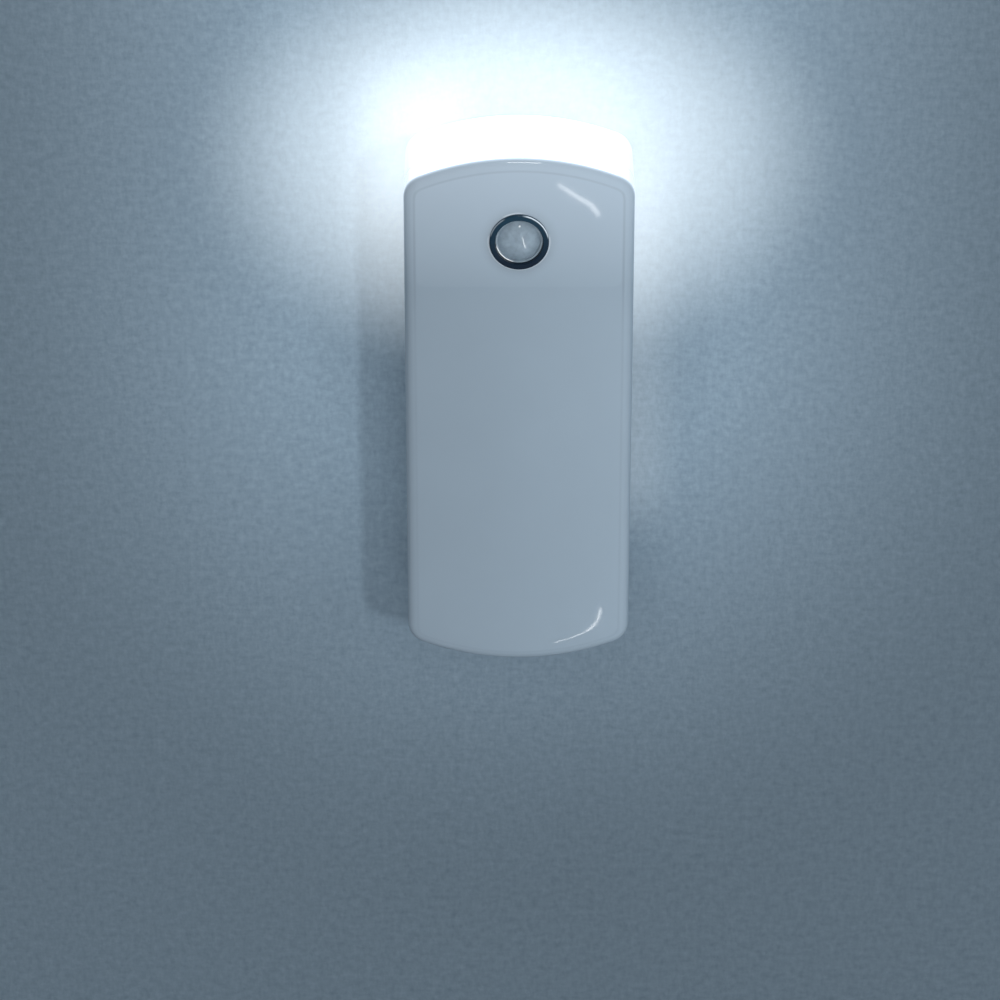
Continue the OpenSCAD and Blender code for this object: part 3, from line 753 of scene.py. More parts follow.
@dataclass(frozen=True)
class MilkyShell:
    """Glossy milky plastic that the lamps light from behind, more and more towards the top, with painted
    shade on its left side and in a line inside its edge, and painted shade and a painted highlight line round
    the sensor.
    """

    name: str
    colour: Colour
    glow: Colour
    half_width: float
    top_up: float
    bottom_up: float
    front: float
    end_r: float = 60.0
    floor_up: float = 43.2
    zone_half: float = 23.2
    zone_r: float = 1.8
    zone_glow: float = 0.013
    sensor_up: float = 54.5
    seat_r: float = 6.9
    # Painted shade round the ring, then the painted highlight line at its foot and the turns where that line
    # is left out.
    seat_shade: Pair = (2.6, 0.1)
    seat_highlight_line: Colour = srgb(205, 218, 228)
    seat_highlight_line_half: Pair = (0.1, 0.3)
    seat_highlight_line_level: float = 0.5
    seat_highlight_gaps: tuple[Pair, Pair] = ((46.0, 44.0), (145.0, 30.0))
    panel_in: float = 2.4
    # Painted shade: a darker line just inside the edge, fainter below the lamp space.
    panel_shade_line: Colour = (0.85, 0.85, 0.85, 1)
    panel_shade_line_half: Pair = (0.08, 0.42)
    panel_shade_line_fade: Pair = (-12.0, 6.0)
    panel_shade_line_low: float = 0.35
    # Painted shade: how dark the left side is against the right.
    left_shade_share: float = 0.77
    cloud_share: float = 0.08
    edge_glow: float = 0.19
    rim_share: float = 0.92
    crest_glow: float = 1.3
    crest_behind: Pair = (1.2, 3.1)

    def inset(self, graph: SurfaceGraph, across: Term, up: Term) -> Term:
        """How far inside the body's edge a point lies, seen from the front.

        Args:
            graph: The material's tree.
            across, up: The point's place.

        Returns:
            The distance in millimetres.
        """
        soft = 2.6
        inside = self.half_width - abs(across)
        for middle, way in ((self.top_up - self.end_r, 1.0), (self.bottom_up + self.end_r, -1.0)):
            past = graph.larger((up - middle) * way, 0.0)
            inside = graph.smaller(inside, self.end_r - graph.far(across, past), soft)
        return inside

    def lamp_space(self, graph: SurfaceGraph, across: Term, up: Term) -> Term:
        """Marks what lies in front of the lamp space.

        Args:
            graph: The material's tree.
            across, up: The point's place.

        Returns:
            The mark: 1 over the lamp space, 0 below its floor and beside it.
        """
        soft = 0.25
        past_side = graph.larger(abs(across) - (self.zone_half - self.zone_r), 0.0)
        past_floor = graph.larger((self.floor_up + self.zone_r) - up, 0.0)
        return 1.0 - graph.step(graph.far(past_side, past_floor), self.zone_r - soft, self.zone_r + soft)

    def level(self, graph: SurfaceGraph, axes: list[Term], inset: Term) -> Term:
        """How brightly each point is lit from behind.

        Args:
            graph: The material's tree.
            axes: The point's place across, out and up.
            inset: How far inside the body's edge it lies.

        Returns:
            The strength of the light.
        """
        across, out, up = axes
        rise = graph.ramp(up, self.floor_up, self.top_up, 0.0, self.edge_glow)
        rim = graph.ramp(inset, 0.0, self.panel_in, self.rim_share, 1.0)
        behind = graph.step(out, *(self.front - depth for depth in self.crest_behind))
        crest = graph.lit_through(up, self.top_up) * behind * self.crest_glow
        return rise * rim + self.lamp_space(graph, across, up) * self.zone_glow + crest

    def seat(self, graph: SurfaceGraph, across: Term, up: Term, base: Term) -> Term:
        """Paints shade on the ground round the sensor and a highlight line at the ring's foot.

        Args:
            graph: The material's tree.
            across, up: The point's place.
            base: The colour so far.

        Returns:
            The new colour.
        """
        rise = up - self.sensor_up
        away = graph.far(across, rise)
        # Painted shade round the ring's foot.
        reach, strength = self.seat_shade
        shadow = 1.0 - graph.step(away, self.seat_r, self.seat_r + reach)
        base = graph.blend(shadow * strength, base, BLACK)
        # Painted highlight: a pale line at the ring's foot, left out over the gaps.
        line = 1.0 - graph.step(abs(away - self.seat_r), *self.seat_highlight_line_half)
        hidden = graph.larger(*(graph.arc_share(across, rise, *gap) for gap in self.seat_highlight_gaps))
        level = graph.ramp(hidden, 0.0, 1.0, self.seat_highlight_line_level, 0.0)
        return graph.blend(line * level, base, self.seat_highlight_line)

    def material(self) -> Material:
        """Makes the material.

        Returns:
            The material.
        """
        graph = SurfaceGraph(self.name)
        axes = graph.axes()
        across, _, up = axes
        inset = self.inset(graph, across, up)
        graph.set(Emission_Color=self.glow, Emission_Strength=self.level(graph, axes, inset))
        cloud = graph.ramp(graph.noise(30, 3), 0.3, 0.7, -self.cloud_share, self.cloud_share)
        # Painted shade: the colour darker towards the left, where less light falls; the cloud is random tone.
        shade_from_left = graph.ramp(across, -self.half_width, self.half_width)
        share = graph.math("ADD", shade_from_left, cloud, clamp=True)
        base = graph.blend(share, shade(self.colour, self.left_shade_share), self.colour)
        # Painted shade: a darker line just inside the edge, fainter below the lamp space.
        line = 1.0 - graph.step(abs(inset - self.panel_in), *self.panel_shade_line_half)
        fade = (self.floor_up + rise for rise in self.panel_shade_line_fade)
        line = line * graph.ramp(up, *fade, self.panel_shade_line_low, 1.0)
        base = graph.blend(line, base, self.panel_shade_line, "MULTIPLY")
        graph.set(Base_Color=self.seat(graph, across, up, base))
        graph.set(Roughness=graph.ramp(graph.noise(14, 4, 0.6), 0.0, 1.0, 0.3, 0.4))
        graph.set(Normal=graph.bump(graph.noise(3.2, 1), 0.0007))
        graph.set(Coat_Weight=1.0, Coat_Roughness=0.03, Specular_IOR_Level=0.15)
        return graph.material


@dataclass(frozen=True)
class Lit:
    """A frosted or phosphor surface that gives light."""

    name: str
    colour: Colour
    glow: Colour
    strength: float
    roughness: float = 0.5
    grain: float = 0.6
    grain_depth: float = 0.02
    dim: float = 0.93
    front: float = 0.0
    front_depth: float = 1.6
    front_share: float = 0.5

    def material(self) -> Material:
        """Makes the material; with a front given, its light falls off just behind that.

        Returns:
            The material.
        """
        graph = SurfaceGraph(self.name)
        glow = graph.blend(graph.noise(self.grain * 10, 3), shade(self.glow, self.dim), self.glow)
        graph.set(Base_Color=self.colour, Emission_Color=glow)
        strength = self.strength
        if self.front:
            _, out, _ = graph.axes()
            dimmed = strength * self.front_share
            strength = graph.ramp(out, self.front - self.front_depth, self.front, strength, dimmed)
        graph.set(Emission_Strength=strength, Roughness=self.roughness)
        graph.set(Normal=graph.bump(graph.noise(self.grain, 3, 0.6), self.grain_depth))
        return graph.material


@dataclass(frozen=True)
class CircuitBoard:
    """A lacquered board with copper tracks under the lacquer and a fine weave."""

    name: str
    lacquer: Colour
    track: Colour
    pitch: float = 2.54
    scatter: float = 0.55
    track_gap: float = 0.32
    track_edge: Pair = (0.13, 0.17)
    track_height: float = 0.03
    weave: float = 0.4
    weave_share: float = 0.85

    def material(self) -> Material:
        """Makes the material.

        Returns:
            The material.
        """
        graph = SurfaceGraph(self.name)
        inputs = {"Vector": graph.place, "Scale": 1 / (self.pitch * MM), "Randomness": self.scatter}
        cells = graph.term("ShaderNodeTexVoronoi", inputs, "Distance", distance="MANHATTAN", feature="F1")
        tracks = graph.step(graph.math("PINGPONG", cells, self.track_gap), *self.track_edge)
        ground = graph.blend(graph.noise(self.weave, 1), self.lacquer, shade(self.lacquer, self.weave_share))
        graph.set(Base_Color=graph.blend(tracks, ground, self.track), Roughness=0.32)
        graph.set(Normal=graph.bump(tracks, self.track_height), Coat_Weight=0.4, Coat_Roughness=0.1)
        return graph.material


@dataclass(frozen=True)
class SensorRing:
    """Glossy black plastic, with painted light that makes it a little lighter above, and painted highlights
    over parts of its outer roll.
    """

    name: str
    # The black below, the black with painted light above, and the painted highlight colour.
    low: Colour
    high: Colour
    pale: Colour
    up: float
    edge_r: float
    top_out: float
    shaded_half: float = 5.0
    # Where the painted highlights lie on the outer roll, and how strong the left one is.
    glint_roll_in: Pair = (0.26, 0.14)
    glint_roll_down: Pair = (0.42, 0.3)
    right_glint_arc: Pair = (46.0, 40.0)
    left_glint_arc: Pair = (143.0, 26.0)
    left_glint_level: float = 0.35

    def material(self) -> Material:
        """Makes the material.

        Returns:
            The material.
        """
        graph = SurfaceGraph(self.name)
        across, out, up = graph.axes()
        rise = up - self.up
        # Painted highlights: pale arcs over parts of the outer roll.
        edge = graph.step(graph.far(across, rise), *(self.edge_r - inset for inset in self.glint_roll_in))
        roll = edge * graph.step(out, *(self.top_out - depth for depth in self.glint_roll_down))
        right = graph.arc_share(across, rise, *self.right_glint_arc)
        left = graph.arc_share(across, rise, *self.left_glint_arc) * self.left_glint_level
        # Painted light: the black lighter above than below.
        black = graph.blend(graph.ramp(rise, -self.shaded_half, self.shaded_half), self.low, self.high)
        graph.set(Base_Color=graph.blend(roll * graph.larger(right, left), black, self.pale))
        graph.set(Roughness=graph.ramp(graph.noise(9, 4, 0.6), 0.0, 1.0, 0.26, 0.34))
        graph.set(Normal=graph.bump(graph.noise(1.2, 2), 0.0005))
        graph.set(Coat_Weight=0.4, Coat_Roughness=0.05, Specular_IOR_Level=0.02)
        return graph.material


@dataclass(frozen=True)
class FresnelLens:
    """Milky plastic with fine rings and a few joints between its lens fields, and painted highlights on its
    pip and on part of its rim.
    """

    name: str
    colour: Colour
    up: float
    ring_pitch: float = 0.42
    ring_depth: float = 0.004
    fields: int = 9
    joint_half: float = 0.07
    shares: Pair = (0.74, 1.06)
    # Painted highlights: a pale arc on part of the rim and a pale spot on the pip.
    rim_r: float = 5.2
    rim_glint_half: Pair = (0.2, 0.06)
    rim_glint_arc: Pair = (224.0, 36.0)
    pip_glint_x: float = 0.1
    pip_glint_edge: Pair = (0.34, 0.05)
    pale: Colour = srgb(245, 250, 255)

    def material(self) -> Material:
        """Makes the material.

        Returns:
            The material.
        """
        graph = SurfaceGraph(self.name)
        across, _, up = graph.axes()
        rise = up - self.up
        away = graph.far(across, rise)
        rings = graph.ramp(graph.math("PINGPONG", away, self.ring_pitch / 2), 0.0, self.ring_pitch / 2)
        turn = graph.math("ARCTAN2", across, rise)
        joint = graph.step(graph.math("PINGPONG", turn, math.pi / self.fields), 0.0, self.joint_half)
        smudge = graph.ramp(graph.noise(1.6, 2, 0.6), 0.3, 0.7) * 0.7 + joint * 0.12
        base = graph.blend(smudge, *(shade(self.colour, share) for share in self.shares))
        # Painted highlights: a pale spot on the pip and a pale arc on part of the rim.
        pip = graph.step(graph.far(across - self.pip_glint_x, rise - PIP_UP), *self.pip_glint_edge)
        rim = graph.step(abs(away - self.rim_r), *self.rim_glint_half)
        rim = rim * graph.arc_share(across, rise, *self.rim_glint_arc)
        graph.set(Base_Color=graph.blend(graph.larger(pip, rim), base, self.pale))
        graph.set(Roughness=graph.ramp(graph.noise(2.4, 3, 0.6), 0.0, 1.0, 0.3, 0.42))
        graph.set(Normal=graph.bump(rings * 0.5 + joint * 0.3, self.ring_depth))
        graph.set(Coat_Weight=0.6, Coat_Roughness=0.05, Specular_IOR_Level=0.3)
        return graph.material


# Each plain plastic's name and screen colour, then its roughness, spread of colour, grain and grain depth.
PLAIN_PLASTICS = [
    ("white reflector", (236, 238, 238), 0.3, 0.02),
    ("black sleeve", (24, 25, 27), 0.5),
    ("plug plastic", (150, 166, 178), 0.42, 0.03, 0.5, 0.006),
    ("knob plastic", (172, 186, 197), 0.4, 0.04, 0.4, 0.006),
    ("clamp plastic", (214, 210, 198), 0.45),
    ("black package", (26, 26, 28), 0.55, 0.15, 0.25, 0.006),
    ("capacitor case", (203, 172, 62), 0.3, 0.08),
    ("capacitor sleeve", (38, 44, 85), 0.25, 0.1),
    ("resistor coat", (104, 142, 122), 0.45, 0.1, 0.4, 0.01),
    ("small parts", (96, 84, 72), 0.4, 0.35, 1.0),
    ("light cell", (196, 112, 70), 0.3, 0.2, 0.5, 0.01),
    ("sensor filter", (58, 52, 60), 0.12, 0.1, 2.0, 0.001),
    ("white spacer", (228, 228, 224), 0.5),
    ("lamp body", (238, 238, 232), 0.35),
    ("red insulation", (178, 26, 24), 0.38, 0.08),
    ("black insulation", (22, 22, 24), 0.38, 0.1),
    ("white insulation", (226, 226, 220), 0.38, 0.05),
]


def make_finishes() -> dict[str, Material]:
    """Makes every finish of the night light once.

    Returns:
        The materials by their names.
    """
    housing, bezel = Box.of("rear_housing"), Box.of("sensor_bezel")
    cover_front, window_front = Box.of("front_cover").front, Box.of("top_window").front
    eye_up = Box.of("sensor_lens").centre[1]
    finishes = [
        MilkyShell("milky cover", srgb(147, 165, 180), (0.76, 0.87, 1.0, 1),
                   housing.size[0] / 2, housing.high, housing.low, cover_front),
        Moulded("housing plastic", srgb(134, 152, 166), 0.4, 0.03, 0.7, 0.006, glow=1.3, top_up=housing.high),
        Lit("frosted window", srgb(235, 242, 248), (0.95, 0.98, 1, 1), 1.5, front=window_front),
        # The ring's black, its black with painted light above, and its painted highlight colour.
        SensorRing("glossy black ring", srgb(4, 24, 42), srgb(20, 50, 68), srgb(208, 221, 232),
                   eye_up, bezel.size[0] / 2 - RING_TRIM, bezel.front),
        FresnelLens("milky lens", srgb(132, 150, 164), eye_up),
        *(Moulded(name, srgb(*tone), *sizes) for name, tone, *sizes in PLAIN_PLASTICS),
        Metal("nickelled brass", (0.60, 0.57, 0.50, 1), 0.26, (1, 1, 0.08)),
        Metal("zinced steel", (0.62, 0.63, 0.65, 1), 0.3),
        Metal("sensor can", (0.66, 0.66, 0.65, 1), 0.22),
        Metal("solder", (0.72, 0.72, 0.71, 1), 0.22, spread=0.2),
        Lit("lamp phosphor", srgb(240, 226, 120), (1, 0.97, 0.86, 1), 3.0),
        CircuitBoard("green board", srgb(22, 88, 54), srgb(40, 122, 76)),
        CircuitBoard("white board", srgb(232, 234, 232), srgb(214, 216, 212)),
    ]
    return {finish.name: finish.material() for finish in finishes}


class Moving(Enum):
    """The two bodies of the night light."""

    FIXED = "body"
    SWITCH = "switch_grip"


def dress(piece: Piece, material: Material, slot: str,
          body: Moving = Moving.FIXED) -> None:
    """Gives a finished piece its material and its body.

    Args:
        piece: The finished piece.
        material: Its one material.
        slot: The record's material slot; not used.
        body: The body that it moves with.
    """
    piece.data.materials.clear()
    piece.data.materials.append(material)
    piece.data.polygons.foreach_set("material_index", [0] * len(piece.data.polygons))
    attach(piece, body.value)


# ---------------------------------------------------------------- the shell


@dataclass(frozen=True)
class Outline:
    """The body's outline from the front: straight sides, and ends that are arcs with round corners."""

    width: float
    height: float
    mid_up: float
    end_r: float = 60.0
    corner_r: float = 5.4
    least_corner_r: float = 0.2
    side_steps: int = 34
    corner_steps: int = 9
    end_steps: int = 16

    def ring(self, inset: float, out: float) -> np.ndarray:
        """The outline drawn in by an inset.

        Args:
            inset: How far inside the body's edge it runs, in millimetres.
            out: How far out of the wall it lies.

        Returns:
            Rows of (across, up, out), anticlockwise from the middle of the right-hand side.
        """
        corner = max(self.corner_r - inset, self.least_corner_r)
        corner_x = self.width / 2 - inset - corner
        reach = self.end_r - inset - corner
        end_centre = self.height / 2 - self.end_r
        corner_up = end_centre + math.sqrt(reach**2 - corner_x**2)
        turn = math.degrees(math.asin(corner_x / reach))
        side = [(self.width / 2 - inset, y) for y in np.linspace(0, corner_up, self.side_steps + 1)]
        bend = arc((corner_x, corner_up), corner, 0, 90 - turn, self.corner_steps)
        end = arc((0, end_centre), self.end_r - inset, 90 - turn, 90, self.end_steps)
        quarter = np.array(side[:-1] + bend[:-1] + end)
        half = np.concatenate([quarter, quarter[-2::-1] * [-1, 1]])
        whole = np.concatenate([half[:-1], -half[:-1]])
        return at_level(whole + np.array([0, self.mid_up]), out)


@dataclass
class Shell:
    """The cover and the housing that meet half way round the sides."""

    outline: Outline
    front: float
    joint: float
    wall: float = 1.8
    edge_r: float = 2.4
    back_r: float = 2.0
    floor: float = 2.0
    reveal: float = 0.35
    rim_r: float = 0.25
    tongue_gap: float = 0.15
    tongue_t: float = 1.0
    tongue_l: float = 1.5
    crown_across: float = 0.22
    crown_up: float = 0.3
    face_rows: int = 30
    inside_rows: int = 6

    @classmethod
    def from_frame(cls) -> "Shell":
        """Takes the shell's main sizes from the CAD nodes.

        Returns:
            The shell.
        """
        housing = Box.of("rear_housing")
        outline = Outline(housing.size[0], housing.size[1], housing.centre[1])
        return cls(outline, Box.of("front_cover").front, housing.front)

    def drop(self, points: np.ndarray) -> np.ndarray:
        """How far the crowned front lies behind its highest level.

        Args:
            points: Rows that start with (across, up).

        Returns:
            The drop at each row, in millimetres.
        """
        across = np.abs(points[:, 0]) / (self.outline.width / 2)
        along = np.abs(points[:, 1] - self.outline.mid_up) / (self.outline.height / 2)
        return self.crown_across * across**2 + self.crown_up * along**4

    def slope(self, across: float, up: float) -> Vector:
        """The crowned front's outward normal at a place.

        Args:
            across, up: The place on the front.

        Returns:
            The normal, in the frame's axes.
        """
        half_width, half_height = self.outline.width / 2, self.outline.height / 2
        x = 2 * self.crown_across * across / half_width**2
        z = 4 * self.crown_up * (up - self.outline.mid_up) ** 3 / half_height**4
        return Vector((x, -1, z)).normalized()

    def crowned(self, ring: np.ndarray, share: float = 1.0) -> np.ndarray:
        """Lowers a ring by a share of the crown's drop."""
        return ring - np.outer(self.drop(ring) * share, [0, 0, 1])

    def edge(self, radius: float, level: float, way: int, steps: int) -> list[Pair]:
        """The rounded outer edge as points of (inset, out), from the side wall to the flat.

        Args:
            radius: The edge's radius.
            level: The flat's distance out of the wall.
            way: 1 where the flat faces forwards, -1 where it faces back.
            steps: The stretches round the edge.

        Returns:
            The points, both ends included.
        """
        turns = np.radians(np.linspace(0, 90, steps + 1))
        return [(radius * (1 - math.cos(a)), level - way * radius * (1 - math.sin(a))) for a in turns]

    def towards(self, ring: np.ndarray, hole: np.ndarray, rows: int) -> list[np.ndarray]:
        """Rings that run on straight lines from one ring to another, without the first."""
        return [ring + (hole - ring) * (k / rows) for k in range(1, rows + 1)]

    def hole_ring(self, like: np.ndarray, centre: Pair, radius: float, out: float) -> np.ndarray:
        """A circle whose points face those of an outline.

        Args:
            like: The outline.
            centre: The circle's centre, across and up.
            radius: The circle's radius.
            out: How far out of the wall it lies.

        Returns:
            Rows of (across, up, out).
        """
        away = like[:, :2] - np.array(centre)
        return at_level(np.array(centre) + radius * away / np.linalg.norm(away, axis=1)[:, None], out)

    def window_notch(self, window: Box, front: float) -> Piece:
        """The block that cuts the window's notch in the top wall.

        Args:
            window: The notch's box.
            front: How far out of the wall the block reaches.

        Returns:
            The closed block.
        """
        slip, tall, rise, corner_r = 0.1, 30.0, 8.0, 0.3
        flat = rounded_rectangle(window.size[0] + 2 * slip, tall, corner_r, 2)
        centre = (0, window.centre[1] + rise)
        return prism(flat, [(0, window.back - slip), (0, front)], centre, (window.size[0], tall))


@dataclass
class FrontCover:
    """The milky cover: a crowned front with a rolled edge, a hole for the sensor and four screw bosses."""

    shell: Shell
    sensor_up: float
    window: Box
    boss_places: list[Pair]
    hole_r: float = 6.35
    boss_back: float = 10.0
    boss_r: float = 2.9
    pilot_r: float = 1.3
    tongue_high: float = 40.0
    fillet: float = 0.6

    def rings(self) -> list[np.ndarray]:
        """The cover's section, all the way round: rim, side, rolled edge, front, hole, inside and tongue.

        Returns:
            The section's rings, in order.
        """
        s = self.shell
        ring = s.outline.ring
        inner, root, tip = s.front - s.wall, s.joint + s.tongue_t, s.joint - s.tongue_l
        side = np.linspace(s.joint + 1, s.front - s.edge_r - self.fillet, 6)
        rim = [(s.rim_r, 0), (0.3 * s.rim_r, 0.3 * s.rim_r), (0, s.rim_r)]
        rings = [ring(inset, s.joint + rise) for inset, rise in rim] + [ring(0, out) for out in side]
        for inset, out in s.edge(s.edge_r, s.front, 1, 12):
            share = 1 - max(s.front - out, 0) / s.edge_r
            rings.append(s.crowned(ring(inset, out), share))
        face = ring(s.edge_r, s.front)
        hole = s.hole_ring(face, (0, self.sensor_up), self.hole_r, s.front)
        rings += [s.crowned(flat) for flat in s.towards(face, hole, s.face_rows)]
        rings.append(at_level(hole[:, :2], inner))
        rings += s.towards(rings[-1], ring(s.wall + self.fillet, inner), s.inside_rows)
        groove_in = s.wall + s.tongue_gap
        inside = [
            (s.wall, inner - self.fillet), (s.wall, root + 0.5), (groove_in + s.tongue_t, root),
            (groove_in + s.tongue_t, tip), (groove_in, tip), (groove_in, s.joint),
        ]
        return rings + [ring(inset, out) for inset, out in inside]

    def tongue_tool(self) -> Piece:
        """The block that takes the tongue away round the lamp space.

        Returns:
            The closed block.
        """
        s = self.shell
        clear = 0.02
        flat = s.outline.ring(s.wall + clear, 0)[:, :2]
        upper = flat[flat[:, 1] > self.tongue_high]
        low = np.array([[upper[-1, 0], self.tongue_high], [upper[0, 0], self.tongue_high]])
        outline = np.concatenate([upper, low])
        ends = (s.joint - s.tongue_l - 1, s.joint + s.tongue_t + 0.5 + clear)
        return skin("tongue tool", [at_level(outline, out) for out in ends])

    def bosses(self) -> list[Piece]:
        """The four tubes that the case screws bite into.

        Returns:
            The closed tubes.
        """
        bite, lead, broken = 0.4, 0.3, 0.2
        back, top = self.boss_back, self.shell.front - self.shell.wall + bite
        section = [
            (self.pilot_r, back + lead), (self.pilot_r + lead, back), (self.boss_r - broken, back),
            (self.boss_r, back + broken), (self.boss_r, top), (self.pilot_r, top),
        ]
        return [turned("boss", section, place, 40) for place in self.boss_places]

    def build(self, finish: Material) -> Piece:
        """Makes and dresses the cover.

        Args:
            finish: The cover's material.

        Returns:
            The finished piece.
        """
        cover = skin("front_cover_shell", self.rings(), round_again=True)
        carve(cover, self.tongue_tool())
        carve(cover, self.shell.window_notch(self.window, self.window.front + 0.1))
        cover = join("front_cover_shell", [cover, *self.bosses()])
        smooth(cover, 30)
        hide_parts("front_cover")
        dress(cover, finish, "cover_plastic")
        return cover


@dataclass
class RearHousing:
    """The housing against the wall, with the plug's opening, the switch's slot and the screws' sinks."""

    shell: Shell
    window: Box
    screw_places: list[Pair]
    slot_centre: Pair
    posts: list[Pair]
    clamp_posts: list[Pair]
    opening: Pair = (24.2, 17.2)
    opening_r: float = 2.5
    board_back: float = 14.4
    clamp_drop: float = 6.4
    sink_r: float = 2.6
    sink_t: float = 2.4
    sink_edge: float = 0.25
    shank_r: float = 1.4
    boss_split: float = 9.9
    slot_size: Pair = (3.6, 10.0)
    slot_r: float = 1.0
    scoop_size: Pair = (6.0, 15.0)
    scoop_t: float = 0.8
    scoop_in: float = 1.4
    panel_size: Pair = (28.0, 18.0)
    panel_up: float = -29.0
    panel_t: float = 0.3
    panel_r: float = 2.0
    post_r: float = 2.5
    pilot_r: float = 1.1
    fillet: float = 0.5

    def rings(self) -> list[np.ndarray]:
        """The housing's section, all the way round: rim, side, rounded edge, back, plug opening and inside.

        Returns:
            The section's rings, in order.
        """
        s = self.shell
        ring = s.outline.ring
        rim = s.joint - s.reveal
        outside = [
            (s.reveal, s.joint), (s.reveal, rim), (s.rim_r, rim), (0.3 * s.rim_r, rim - 0.3 * s.rim_r),
            (0, rim - s.rim_r), *((0, out) for out in np.linspace(s.joint - 2, s.back_r + 1, 8)),
            *s.edge(s.back_r, 0, -1, 8),
        ]
        rings = [ring(inset, out) for inset, out in outside]
        face = ring(s.back_r, 0)
        hole = self.opening_flat(face)
        rings += s.towards(face, at_level(hole, 0), 10)
        rings.append(at_level(hole, s.floor))
        rings += s.towards(rings[-1], ring(s.wall + self.fillet, s.floor), s.inside_rows)
        return rings + [ring(s.wall, s.floor + self.fillet), ring(s.wall, s.joint)]

    def opening_flat(self, like: np.ndarray) -> np.ndarray:
        """The plug's opening, with points that face those of an outline.

        Args:
            like: The outline.

        Returns:
            Rows of (across, up).
        """
        half, corner, least = np.array(self.opening) / 2, self.opening_r, 1e-9
        away = like[:, :2]
        flat = away * np.min(half / np.maximum(np.abs(away), least), axis=1)[:, None]
        core = np.clip(flat, -(half - corner), half - corner)
        past = flat - core
        length = np.linalg.norm(past, axis=1)[:, None]
        return np.where(length > corner, core + past / np.maximum(length, least) * corner, flat)

    def tools(self) -> list[Piece]:
        """The closed shapes that are cut from the housing.

        Returns:
            The shapes.
        """
        s = self.shell
        side = s.outline.width / 2
        recess = prism(rounded_rectangle(*self.panel_size, self.panel_r),
                       [(0.2, self.panel_t), (0, 0), (0, -1)], (0, self.panel_up), self.panel_size)
        rim_r, sink_r = self.sink_r + self.sink_edge, self.sink_r
        section = [(AXIS, -1), (rim_r, -1), (rim_r, 0), (sink_r, self.sink_edge), (sink_r, self.sink_t),
                   (AXIS, self.sink_t)]
        sinks = [turned("sink", section, place, 48, closed=False) for place in self.screw_places]
        through = [(0, side + 1), (0, side - (s.wall + self.fillet))]
        slot = side_loft("slot", self.slot_size, through, self.slot_centre, self.slot_r)
        curve = [(self.scoop_in * t, side - self.scoop_t * math.sin(math.pi / 2 * t))
                 for t in (0, 0.2, 0.45, 0.7, 1)]
        scoop = side_loft("scoop", self.scoop_size, [(0, side + 1), *curve], self.slot_centre, steps=10)
        return [s.window_notch(self.window, s.joint + 1), recess, slot, scoop, *sinks]

    def tubes(self) -> list[Piece]:
        """The screw bosses, the board's posts and the clamp's posts, on the floor.

        Returns:
            The closed tubes.
        """
        base = self.shell.floor - 0.3
        boss_r = self.sink_r + 1
        clamp_back = self.board_back - self.clamp_drop
        tubes = [tube(self.shank_r, boss_r, base, self.boss_split, place, 40) for place in self.screw_places]
        for places, top in ((self.posts, self.board_back), (self.clamp_posts, clamp_back)):
            tubes += [tube(self.pilot_r, self.post_r, base, top, place, 32) for place in places]
        return tubes

    def build(self, finish: Material) -> Piece:
        """Makes and dresses the housing.

        Args:
            finish: The housing's material.

        Returns:
            The finished piece.
        """
        housing = skin("rear_housing_shell", self.rings(), round_again=True)
        for tool in self.tools():
            carve(housing, tool)
        housing = join("rear_housing_shell", [housing, *self.tubes()])
        smooth(housing, 30)
        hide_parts("rear_housing")
        dress(housing, finish, "housing_plastic")
        return housing


# ---------------------------------------------------------------- light, sensor, screws and switch


@dataclass
class TopWindow:
    """The frosted window in the top wall: a bent plate with a flange inside."""

    shell: Shell
    cut: Box
    flange_t: float = 0.9
    lip: float = 0.7
    slip: float = 0.1
    edge: float = 0.25
    steps: int = 40

    def section(self) -> list[Pair]:
        """The plate and its flange as points of (radius, out).

        Returns:
            The points, in order.
        """
        outer_r = self.shell.outline.end_r
        inner_r = outer_r - self.shell.wall - self.slip
        back, front = self.cut.back + self.slip, self.cut.front - self.slip
        lip, broken = self.lip + self.slip, 0.3 * self.edge
        return [
            (outer_r - self.edge, back), (outer_r - broken, back + broken), (outer_r, back + self.edge),
            (outer_r, front - self.edge), (outer_r - broken, front - broken), (outer_r - self.edge, front),
            (inner_r, front), (inner_r, front + lip), (inner_r - self.flange_t, front + lip),
            (inner_r - self.flange_t, back - lip), (inner_r, back - lip), (inner_r, back),
        ]

    def build(self, finish: Material) -> Piece:
        """Makes and dresses the window.

        Args:
            finish: The window's material.

        Returns:
            The finished piece.
        """
        outline, section = self.shell.outline, self.section()
        middle = outline.mid_up + outline.height / 2 - outline.end_r
        half_turn = math.asin((self.cut.right - self.slip) / outline.end_r)
        rings = [
            np.array([(r * math.sin(turn), middle + r * math.cos(turn), out) for r, out in section])
            for turn in np.linspace(-half_turn, half_turn, self.steps + 1)
        ]
        window = skin("top_window_plate", rings)
        smooth(window)
        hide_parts("top_window")
        dress(window, finish, "frosted_window")
        return window


